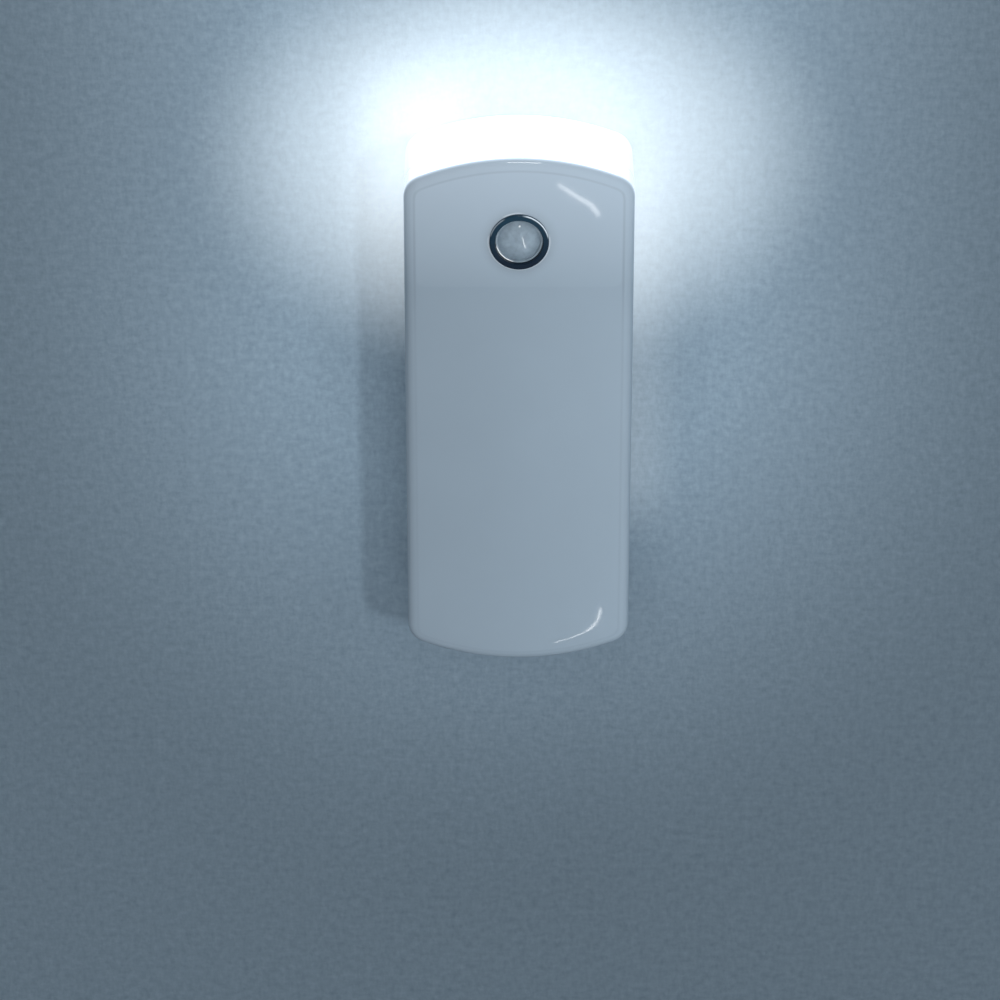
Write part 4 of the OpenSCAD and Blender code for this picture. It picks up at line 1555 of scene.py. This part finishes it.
@dataclass
class SensorEye:
    """The black ring and the milky lens of the motion sensor."""

    up: float
    face: float
    ring_r: float = 6.9
    ring_h: float = 0.8
    roll: float = 0.42
    inner_roll: float = 0.22
    under: float = 0.3
    aperture_r: float = 5.4
    barrel_r: float = 6.25
    step_r: float = 5.75
    barrel_back: float = 22.0
    lens_back: float = 27.2
    lens_h: float = 1.4
    lens_t: float = 0.6
    lens_flange_t: float = 0.8
    rim_t: float = 0.42
    rim_h: float = 0.6
    groove: float = 0.12
    broken: float = 0.06
    ledge: float = 1.4
    pip_r: float = 0.3
    pip_h: float = 0.12
    pip_root: float = 0.5

    def ring(self, finish: Material) -> Piece:
        """Makes and dresses the ring.

        Args:
            finish: The ring's material.

        Returns:
            The finished piece.
        """
        top, side_r, foot = self.face + self.ring_h, self.ring_r - RING_TRIM, self.face - self.under
        section = [
            (self.aperture_r, self.lens_back),
            *arc((self.aperture_r + self.inner_roll, top - self.inner_roll), self.inner_roll, 180, 90, 6),
            *arc((side_r - self.roll, top - self.roll), self.roll, 90, 0, 10),
            (side_r, foot), (self.barrel_r, foot), (self.barrel_r, self.barrel_back),
            (self.step_r, self.barrel_back), (self.step_r, self.lens_back),
        ]
        ring = turned("sensor_ring", section, (0, self.up), 128)
        smooth(ring, 40)
        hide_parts("sensor_bezel")
        dress(ring, finish, "black_ring")
        return ring

    def dome(self, radius: float, middle: float, turns: np.ndarray) -> list[Pair]:
        """Points of (radius, out) on a sphere, at some turns from its top."""
        return [(radius * math.sin(a), middle + radius * math.cos(a)) for a in turns]

    def lens(self, finish: Material) -> Piece:
        """Makes and dresses the lens, a shallow dome with a pip inside a raised rim, over a round flange.

        Args:
            finish: The lens's material.

        Returns:
            The finished piece.
        """
        rim_r, rim_top = self.aperture_r - self.broken, self.lens_back + self.rim_h
        inside_r = rim_r - self.rim_t
        edge_r = inside_r - self.groove
        sphere_r = (edge_r**2 + self.lens_h**2) / (2 * self.lens_h)
        inner_r = sphere_r - self.lens_t
        middle = self.lens_back + self.lens_h - sphere_r
        open_turn = math.asin(edge_r / sphere_r)
        bore_turn = math.asin((self.aperture_r - self.ledge) / inner_r)
        top_turn, slip = 0.004, 0.1
        groove_out, flange_r = self.lens_back + slip, self.step_r - slip
        outer = self.dome(sphere_r, middle, np.linspace(open_turn, top_turn, 36))
        inner = self.dome(inner_r, middle, np.linspace(top_turn, bore_turn, 14))
        back = self.lens_back - self.lens_flange_t
        section = [
            *inner, (inner[-1][0], back), (flange_r, back),
            (flange_r, self.lens_back), (rim_r, self.lens_back),
            (rim_r, rim_top - self.broken), (rim_r - self.broken, rim_top), (inside_r + self.broken, rim_top),
            (inside_r, rim_top - self.broken), (inside_r - 0.02, groove_out), (edge_r, groove_out), *outer,
        ]
        lens = turned("sensor_dome", section, (0, self.up), 144, closed=False)
        top = middle + math.sqrt(sphere_r**2 - PIP_UP**2) + self.pip_h
        root, pip_r = top - self.pip_root, self.pip_r
        pip = [(AXIS, top), (pip_r - slip, top), (pip_r, top - slip), (pip_r, root), (AXIS, root)]
        carve(lens, turned("pip", pip, (0, self.up + PIP_UP), 20, closed=False), Carve.ADD)
        smooth(lens, 40)
        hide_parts("sensor_lens")
        dress(lens, finish, "milky_lens")
        return lens


@dataclass
class CaseScrews:
    """The four pan-head screws that hold the cover to the housing."""

    places: list[Pair]
    seat: float = 2.4
    length: float = 14.0
    head_r: float = 2.3
    head_h: float = 1.5
    head_roll: float = 0.75
    shank_r: float = 1.25
    core_r: float = 0.95
    thread_start: float = 0.8
    thread_gap: float = 2.4
    pitch: float = 0.95
    recess: float = 0.62
    recess_share: float = 0.62
    recess_deep: float = 0.95
    recess_in: float = 0.16
    seed: int = 4

    def tree(self) -> PlacesGraph:
        """The tree that sets screws on their places, each turned about its axis by chance.

        Returns:
            The finished tree.
        """
        graph = PlacesGraph("screws", {"Screw": "Object", "Seed": "Int"})
        inputs = {"Object": graph.given["Screw"], "As Instance": True}
        screw = graph.term("GeometryNodeObjectInfo", inputs, "Geometry")
        limits = {0: (0, 0, 0), 1: (0, math.pi, 0), "Seed": graph.given["Seed"]}
        turn = graph.term("FunctionNodeRandomValue", limits, data_type="FLOAT_VECTOR")
        graph.finish(graph.copies(graph.given["Places"], screw, turn))
        return graph

    def master(self) -> Piece:
        """One screw at the origin, its head facing back and its point forwards.

        Returns:
            The screw.
        """
        top, flat_r = -self.head_h, self.head_r - self.head_roll
        roll_out = top + 0.06 + self.head_roll
        section = [
            (AXIS, top), (0.9, top), (flat_r, top + 0.06),
            *arc((flat_r, roll_out), self.head_roll, -90, 0, 6),
            (self.head_r, -0.1), (self.head_r - 0.1, 0), (self.shank_r, 0), (self.core_r, 0.4),
        ]
        for k in range(int((self.length - self.thread_gap) / self.pitch)):
            out = self.thread_start + k * self.pitch
            turn = ((self.core_r, 0), (self.shank_r, 0.3), (self.core_r, 0.6))
            section += [(radius, out + share * self.pitch) for radius, share in turn]
        section += [(self.core_r * 0.8, self.length - 0.9), (AXIS, self.length)]
        screw = turned("screw master", section, (0, 0), 40, closed=False)
        long = 2 * self.head_r * self.recess_share
        for size in ((long, self.recess), (self.recess, long)):
            levels = [(0, top - 1), (0, top), (self.recess_in, top + self.recess_deep)]
            carve(screw, prism(rounded_rectangle(*size, 0.12, 3), levels, (0, 0), size))
        return screw

    def build(self, finish: Material) -> Piece:
        """Makes and dresses the screws.

        Args:
            finish: Their metal.

        Returns:
            The finished piece.
        """
        master = self.master()
        places = [(*place, self.seat) for place in self.places]
        screws = self.tree().run("case_screw_set", places, Screw=master, Seed=self.seed, Finish=finish)
        discard(master)
        smooth(screws)
        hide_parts("case_screws")
        dress(screws, finish, "steel_screw")
        return screws


@dataclass
class ModeSwitch:
    """The three-way slide switch's knob in the right-hand wall, with ribs for the thumb."""

    box: Box
    plate_t: float = 1.2
    plate_r: float = 0.5
    broken: float = 0.15
    grip: Pair = (3.0, 4.4)
    grip_r: float = 0.55
    grip_roll: float = 0.45
    rib_pitch: float = 1.15
    rib_r: float = 0.3
    rib_in: float = 0.35
    ribs: int = 3

    def tree(self) -> PlacesGraph:
        """The tree that sets round bars side by side, across the switch's grip.

        Returns:
            The finished tree.
        """
        graph = PlacesGraph("ribs", {"Count": "Int", "Pitch": "Float", "Length": "Float", "Radius": "Float"})
        given = graph.given
        gap = graph.term("ShaderNodeCombineXYZ", {2: given["Pitch"]})
        run = (given["Count"] - 1.0) * given["Pitch"]
        start = graph.term("ShaderNodeCombineXYZ", {2: run * -0.5})
        inputs = {"Count": given["Count"], "Start Location": start, "Offset": gap}
        line = graph.term("GeometryNodeMeshLine", inputs)
        inputs = {"Vertices": 20, "Radius": given["Radius"], "Depth": given["Length"]}
        bar = graph.term("GeometryNodeMeshCylinder", inputs, "Mesh")
        row = graph.copies(line, bar, (math.pi / 2, 0, 0))
        graph.finish(graph.copies(given["Places"], row))
        return graph

    def build(self, finish: Material) -> Piece:
        """Makes and dresses the knob.

        Args:
            finish: Its plastic.

        Returns:
            The finished piece.
        """
        _, up, out = self.box.centre
        back, face = self.box.left, self.box.right - self.rib_r * 0.8
        broken, plate_face, roll = self.broken, self.box.left + self.plate_t, self.grip_roll
        plate = [(broken, back), (0, back + broken), (0, plate_face - broken), (broken, plate_face)]
        round_edge = arc((roll, face - roll), roll, 180, 90, 4)
        plate_size = (self.box.size[2], self.box.size[1])
        knob = side_loft("mode_knob_grip", plate_size, plate, (up, out), self.plate_r)
        grip = side_loft("grip", self.grip, [(0, back + 0.4), *round_edge], (up, out), self.grip_r)
        carve(knob, grip, Carve.ADD)
        ribs = self.tree().run(
            "ribs", [(face - 0.06, up, out)], Count=self.ribs, Pitch=self.rib_pitch * MM,
            Length=(self.grip[0] - 2 * self.rib_in) * MM, Radius=self.rib_r * MM, Finish=finish)
        knob = join("mode_knob_grip", [knob, ribs])
        smooth(knob)
        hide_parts("mode_knob")
        dress(knob, finish, "housing_plastic", Moving.SWITCH)
        return knob


# ---------------------------------------------------------------- inner pieces


@dataclass(frozen=True)
class Refined:
    """A CAD node that is shown as a copy with broken edges."""

    node: str
    name: str
    finish: str
    slot: str
    bevel: float

    def build(self, finishes: dict[str, Material]) -> Piece:
        """Makes and dresses the copy.

        Args:
            finishes: The materials by their names.

        Returns:
            The finished piece.
        """
        piece = merged_copy(self.node, self.name, self.bevel)
        dress(piece, finishes[self.finish], self.slot)
        return piece


REFINED = [
    Refined("plug_base", "plug_base_block", "plug plastic", "plug_plastic", 0.25),
    Refined("live_blade", "live_blade_pin", "nickelled brass", "blade_brass", 0.18),
    Refined("neutral_blade", "neutral_blade_pin", "nickelled brass", "blade_brass", 0.18),
    Refined("plug_clamp", "plug_clamp_bar", "clamp plastic", "clamp_plastic", 0.2),
    Refined("light_reflector", "light_reflector_tray", "white reflector", "white_reflector", 0.12),
    Refined("film_capacitor", "film_capacitor_case", "capacitor case", "film_capacitor_case", 0.35),
    Refined("electrolytic_capacitor", "electrolytic_can", "capacitor sleeve", "capacitor_sleeve", 0.2),
    Refined("bridge_rectifier", "bridge_rectifier_case", "black package", "black_package", 0.1),
    Refined("control_chip", "control_chip_case", "black package", "black_package", 0.06),
    Refined("pir_can", "pir_can_cap", "sensor can", "sensor_can", 0.15),
    Refined("pir_spacer", "pir_spacer_ring", "white spacer", "white_spacer", 0.1),
    Refined("main_board", "main_board_sheet", "green board", "green_board", 0.06),
    Refined("led_board", "led_board_sheet", "white board", "white_board", 0.05),
    Refined("switch_frame", "switch_frame_box", "sensor can", "sensor_can", 0.08),
]

# The finish of each CAD node that stays as it is.
INNER_FINISHES = {
    "led_bodies": "lamp body",
    "led_phosphors": "lamp phosphor",
    "led_screws": "zinced steel",
    "led_wire_red": "red insulation",
    "led_wire_black": "black insulation",
    "sensor_shroud": "black sleeve",
    "pir_filter": "sensor filter",
    "board_screws": "zinced steel",
    "fusible_resistor": "resistor coat",
    "chip_parts": "small parts",
    "light_sensor": "light cell",
    "solder_joints": "solder",
    "switch_slider": "black sleeve",
    "clamp_screws": "zinced steel",
    "live_wire": "black insulation",
    "neutral_wire": "white insulation",
}


def dress_nodes(finishes: dict[str, Material]) -> None:
    """Gives each CAD node that stays its own finish.

    Args:
        finishes: The materials by their names.
    """
    for node, finish in INNER_FINISHES.items():
        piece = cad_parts[node]
        piece.data.materials.clear()
        piece.data.materials.append(finishes[finish])


# ---------------------------------------------------------------- stage, light and camera


@dataclass
class Camera:
    """The camera in front of the wall, a little above the night light and looking down at it."""

    place: Triple = (-4.3, -912.7, 467.2)
    pitch: float = 28.42
    lens: float = 156.0
    sensor: float = 36.0
    nearest: float = 10.0

    def build(self) -> None:
        """Makes the camera."""
        data = bpy.data.cameras.new("camera")
        data.lens = self.lens
        data.sensor_width = self.sensor
        data.clip_start = self.nearest * MM
        camera = bpy.data.objects.new("camera", data)
        camera.location = Vector(self.place) * MM
        camera.rotation_euler = (math.radians(90 - self.pitch), 0, 0)
        bpy.context.scene.collection.objects.link(camera)
        bpy.context.scene.camera = camera


@dataclass(frozen=True)
class Spill:
    """A patch of light on the wall beside the body, in millimetres."""

    across: float
    up: float
    full_half: Pair
    faded_half: Pair
    level: float


@dataclass(frozen=True)
class WovenWall:
    """Woven wall covering that shows from the front only, with painted light bright above the lamp and
    painted shade that makes it darker away from the body and towards the right.
    """

    glow_centre: Pair = (-0.9, 63.2)
    glow_flat: float = 1.32
    glow_reach: Pair = (20.0, 79.5)
    glow_level: float = 0.63
    glow_colour: Colour = (0.885, 0.96, 1, 1)
    spills: tuple[Spill, ...] = (
        Spill(-25, 66, (2, 4), (20, 30), 0.19),
        Spill(25, 18, (2, 34), (16, 60), 0.11),
    )
    threads: tuple[Colour, Colour] = (srgb(110, 132, 149), srgb(167, 189, 206))
    thread_depth: float = 0.35
    # Painted shade: how the weave darkens away from the body and towards the right.
    near_up: float = 25.0
    near_tall: float = 0.88
    near_reach: Pair = (52.0, 150.0)
    dimming: float = 0.53
    side_reach: Pair = (-100.0, 20.0)
    side_dimming: float = 0.06

    def glow(self, graph: SurfaceGraph, across: Term, up: Term) -> Term:
        """The light that the lamp throws on the wall.

        Args:
            graph: The material's tree.
            across, up: The place on the wall.

        Returns:
            The strength of the light.
        """
        x, high = self.glow_centre
        away = graph.far(across - x, (up - high) * self.glow_flat)
        glow = (1.0 - graph.step(away, *self.glow_reach)) * self.glow_level
        for spill in self.spills:
            beside = graph.step(abs(across - spill.across), spill.faded_half[0], spill.full_half[0])
            along = graph.step(abs(up - spill.up), spill.faded_half[1], spill.full_half[1])
            glow = glow + beside * along * spill.level
        return glow

    def material(self) -> Material:
        """Makes the material.

        Returns:
            The material.
        """
        graph = SurfaceGraph("woven wall")
        across, _, up = graph.axes()
        warp, weft = graph.noise(1.2, 2, 0.6, (1, 1, 0.5)), graph.noise(1.4, 2, 0.6, (0.5, 1, 1))
        weave = warp * 0.5 + weft * 0.5
        # Painted shade: the weave darker away from the body and a little darker towards the right.
        below = graph.larger(self.near_up - up, 0.0)
        near = graph.ramp(graph.far(across, below * self.near_tall), *self.near_reach, 1.0, 0.0)
        dim = (1.0 - near * near) * self.dimming
        side = graph.ramp(across, *self.side_reach, 0.0, self.side_dimming)
        base = graph.blend(side, graph.blend(dim, graph.blend(weave, *self.threads), BLACK), BLACK)
        graph.set(Base_Color=base, Roughness=0.85, Specular_IOR_Level=0.1)
        graph.set(Emission_Color=self.glow_colour, Emission_Strength=self.glow(graph, across, up))
        graph.set(Normal=graph.bump(weave, self.thread_depth, 0.5))
        behind = graph.term("ShaderNodeNewGeometry", output="Backfacing")
        graph.cover_look(behind, graph.term("ShaderNodeBsdfTransparent"))
        return graph.material


@dataclass(frozen=True)
class PaleFloor:
    """A pale floor that is nearly even in tone to the camera."""

    tone: Colour = srgb(205, 211, 216)
    evenness: float = 0.75

    def material(self) -> Material:
        """Makes the material.

        Returns:
            The material.
        """
        graph = SurfaceGraph("pale floor")
        graph.set(Base_Color=self.tone, Roughness=0.7, Specular_IOR_Level=0.2)
        even = graph.term("ShaderNodeEmission", {"Color": self.tone, "Strength": 1.0})
        seen = graph.term("ShaderNodeLightPath", output="Is Camera Ray")
        graph.cover_look(seen * self.evenness, even)
        return graph.material


# The large soft lamps: name, direction, distance, size and power. Shiny surfaces don't mirror them.
SOFT_LAMPS = [
    ("key", (0.42, -1.0, 0.24), 1300, (90, 90), 3.9),
    ("front soft", (-0.1, -1.0, 0.45), 1500, (1100, 1100), 5.7),
    ("left soft", (-0.9, -0.8, 0.3), 1500, (900, 900), 0.9),
    ("right soft", (1.0, -0.95, 0.45), 1500, (700, 700), 3.3),
    ("back soft", (-0.3, 1.0, 0.5), 1500, (1100, 1100), 8.0),
]

# Two lines of light on the front: distance, brightness, and the line's points as (across, up, width).
STREAKS = {
    "upper streak": (420, 7.6, [
        (8.7, 68.45, 0.9), (10.3, 67.35, 1.1), (11.9, 66.15, 1.3), (13.7, 64.95, 1.3), (15.7, 63.75, 1.4),
        (17.0, 62.4, 1.4), (17.8, 60.8, 1.1)]),
    "lower streak": (300, 10.5, [
        (9.3, -54.5, 0.5), (13.3, -51.3, 0.9), (15.0, -48.95, 0.9), (16.2, -47.2, 0.8), (17.3, -45.95, 0.8),
        (18.15, -44.9, 0.7), (18.8, -43.7, 0.7), (19.1, -42.3, 0.65), (19.45, -40.75, 0.6)]),
}


@dataclass
class Stage:
    """The pale wall and floor, the world and the lamps."""

    shell: Shell
    camera: Camera
    ring: Piece
    lens: Piece
    reach: float = 1500.0
    gap: float = 1.6
    wall_out: float = 0.02
    floor_reach: float = 1600.0
    floor_up: float = -260.0
    sensor_up: float = 54.5

    def sheet(self, name: str, corners: list[Triple], faces: list[tuple[int, ...]],
              finish: Material) -> None:
        """Makes a flat piece of the stage.

        Args:
            name: Its name.
            corners: Its points, in millimetres in the frame's axes.
            faces: The points of each face, in order.
            finish: Its material.
        """
        mesh = bpy.data.meshes.new(name)
        mesh.from_pydata((np.array(corners) * MM).tolist(), [], faces)
        mesh.materials.append(finish)
        sheet = stand(name, mesh)

    def wall(self) -> None:
        """Builds the wall behind the night light, open where the night light covers it."""
        edge = self.shell.outline.ring(self.gap, 0)[:, :2]
        turns = np.arctan2(edge[:, 1], edge[:, 0])
        border = np.stack([np.cos(turns), np.sin(turns)], axis=1)
        border *= self.reach / np.max(np.abs(border), axis=1)[:, None]
        rows, count = np.concatenate([edge, border]), len(edge)
        corners = np.column_stack([rows[:, 0], np.full(len(rows), self.wall_out), rows[:, 1]])
        faces = [(count + k, count + (k + 1) % count, (k + 1) % count, k) for k in range(count)]
        self.sheet("wall", corners, faces, WovenWall().material())

    def floor(self) -> None:
        """Builds the floor below."""
        far, up = self.floor_reach, self.floor_up
        corners = [(-far, -far, up), (far, -far, up), (far, far, up), (-far, far, up)]
        self.sheet("floor", corners, [(0, 1, 2, 3)], PaleFloor().material())

    def world(self) -> None:
        """Gives soft light from all round, and a pale background."""
        world = bpy.data.worlds.new("studio")
        bpy.context.scene.world = world
        world.use_nodes = True
        graph = Graph(world.node_tree)
        graph.tree.nodes.clear()
        soft = graph.term("ShaderNodeBackground", {"Color": (0.985, 0.99, 1, 1), "Strength": 0.4})
        seen = graph.term("ShaderNodeBackground", {"Color": srgb(196, 205, 212), "Strength": 1.0})
        camera_ray = graph.term("ShaderNodeLightPath", output="Is Camera Ray")
        mixed = graph.term("ShaderNodeMixShader", {0: camera_ray, 1: soft, 2: seen})
        graph.add("ShaderNodeOutputWorld", {"Surface": mixed})

    def lamp(self, name: str, place: Vector, aim: Vector, size: Pair, power: float,
             along: Vector = Vector((1, 0, 0)), glossy: bool = True,
             only: Piece | None = None) -> None:
        """Hangs a flat lamp that the camera can't see.

        Args:
            name: The lamp's name.
            place: Its place, in millimetres in the frame's axes.
            aim: The point that it faces.
            size: Its size along and across, in millimetres.
            power: Its power in watts.
            along: The way that its length runs.
            glossy: Shiny surfaces mirror it.
            only: The one piece that it lights, or None for all.
        """
        data = bpy.data.lights.new(name, "AREA")
        data.shape = "RECTANGLE"
        data.size, data.size_y = size[0] * MM, size[1] * MM
        data.energy = power
        lamp = bpy.data.objects.new(name, data)
        backwards = (place - aim).normalized()
        across = (along - backwards * along.dot(backwards)).normalized()
        turn = Matrix((across, backwards.cross(across), backwards)).transposed()
        lamp.matrix_world = Matrix.Translation(place * MM) @ turn.to_4x4()
        lamp.visible_camera = False
        lamp.visible_glossy = glossy
        if only:
            lit = bpy.data.collections.new(name + " lights")
            lit.objects.link(only)
            lamp.light_linking.receiver_collection = lit
        bpy.context.scene.collection.objects.link(lamp)

    def mirrored(self, across: float, up: float, far: float) -> Vector:
        """The place that the camera sees mirrored at a spot of the front.

        Args:
            across, up: The spot on the front.
            far: How far from the spot the place lies.

        Returns:
            The place, in millimetres in the frame's axes.
        """
        drop = float(self.shell.drop(np.array([[across, up]]))[0])
        spot = Vector((across, -(self.shell.front - drop), up))
        normal = self.shell.slope(across, up)
        view = (Vector(self.camera.place) - spot).normalized()
        return spot + (2 * normal.dot(view) * normal - view) * far

    def streak(self, name: str, far: float, light: float, spots: list[Triple]) -> None:
        """Hangs strip lamps whose mirror images make a line on the front.

        Args:
            name: The lamps' name.
            far: How far away the lamps hang.
            light: How bright they are, in watts for each square metre and steradian.
            spots: The line's points as (across, up, width), from one end to the other.
        """
        for (x0, up0, w0), (x1, up1, w1) in zip(spots, spots[1:]):
            first, last = self.mirrored(x0, up0, far), self.mirrored(x1, up1, far)
            spot = Vector(((x0 + x1) / 2, -self.shell.front, (up0 + up1) / 2))
            view_far = (Vector(self.camera.place) - spot).length
            size = ((last - first).length, (w0 + w1) / 2 * (far + view_far) / view_far)
            power = light * math.pi * size[0] * size[1] * MM * MM
            self.lamp(name, (first + last) / 2, spot, size, power, last - first)

    def lamps(self) -> None:
        """Hangs the soft lamps, and the strips that the glossy front, the ring and the lens mirror."""
        aim = Vector((0, -self.shell.front, self.shell.outline.mid_up))
        for name, way, far, size, power in SOFT_LAMPS:
            self.lamp(name, aim + Vector(way).normalized() * far, aim, size, power, glossy=False)
        sensor = Vector((0, -self.shell.front, self.sensor_up))
        overhead = Vector((0.03, -0.3, 0.95)).normalized() * 1000
        self.lamp("overhead", sensor + overhead, sensor, (190, 60), 0.75)
        strips = [
            ("ring strip", (0.34, -0.3, 0.89), (0.97, -0.05, -0.22), 900, 25, 0.8, self.ring),
            ("lens strip", (0.15, -0.98, -0.1), (0.26, -0.68, -0.69), 400, 12, 0.22, self.lens),
        ]
        for name, start, end, far, wide, power, piece in strips:
            first, last = Vector(start).normalized() * far, Vector(end).normalized() * far
            size = ((last - first).length, wide)
            self.lamp(name, sensor + (first + last) / 2, sensor, size, power, last - first, only=piece)
        for name, line in STREAKS.items():
            self.streak(name, *line)

    def build(self) -> None:
        """Builds the whole stage."""
        self.wall()
        self.floor()
        self.world()
        self.lamps()


# ---------------------------------------------------------------- the whole night light


def report(piece: Piece) -> None:
    """Logs a finished piece with its number of faces."""
    LOG.info("%s: %d faces", piece.name, len(piece.data.polygons))


def main() -> None:
    """Builds the night light's pieces in order, then its stage."""
    logging.basicConfig(level=logging.INFO, format="%(name)s: %(message)s")
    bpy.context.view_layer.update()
    finishes = make_finishes()
    dress_nodes(finishes)

    shell = Shell.from_frame()
    sensor_up, knob = Box.of("sensor_bezel").centre[1], Box.of("mode_knob")
    window_cut = Box(-22, 22, 43, 80, 5.4, 25.4)
    screws = [(x, y) for x in (-19.0, 19.0) for y in (-45.0, 35.5)]
    board_posts = [(x, y) for x in (-13, 13) for y in (-40, 31)]
    clamp_posts = [(-17.5, 0), (17.5, 0)]

    report(FrontCover(shell, sensor_up, window_cut, screws).build(finishes["milky cover"]))
    housing = RearHousing(shell, window_cut, screws, knob.centre[1:], board_posts, clamp_posts)
    report(housing.build(finishes["housing plastic"]))
    report(TopWindow(shell, window_cut).build(finishes["frosted window"]))
    eye = SensorEye(sensor_up, shell.front)
    ring, lens = eye.ring(finishes["glossy black ring"]), eye.lens(finishes["milky lens"])
    report(ring)
    report(lens)
    report(CaseScrews(screws).build(finishes["zinced steel"]))
    report(ModeSwitch(knob).build(finishes["knob plastic"]))
    for refined in REFINED:
        report(refined.build(finishes))

    camera = Camera()
    camera.build()
    Stage(shell, camera, ring, lens).build()
    bpy.context.scene.view_settings.view_transform = "Standard"


if __name__ == "__main__":
    main()
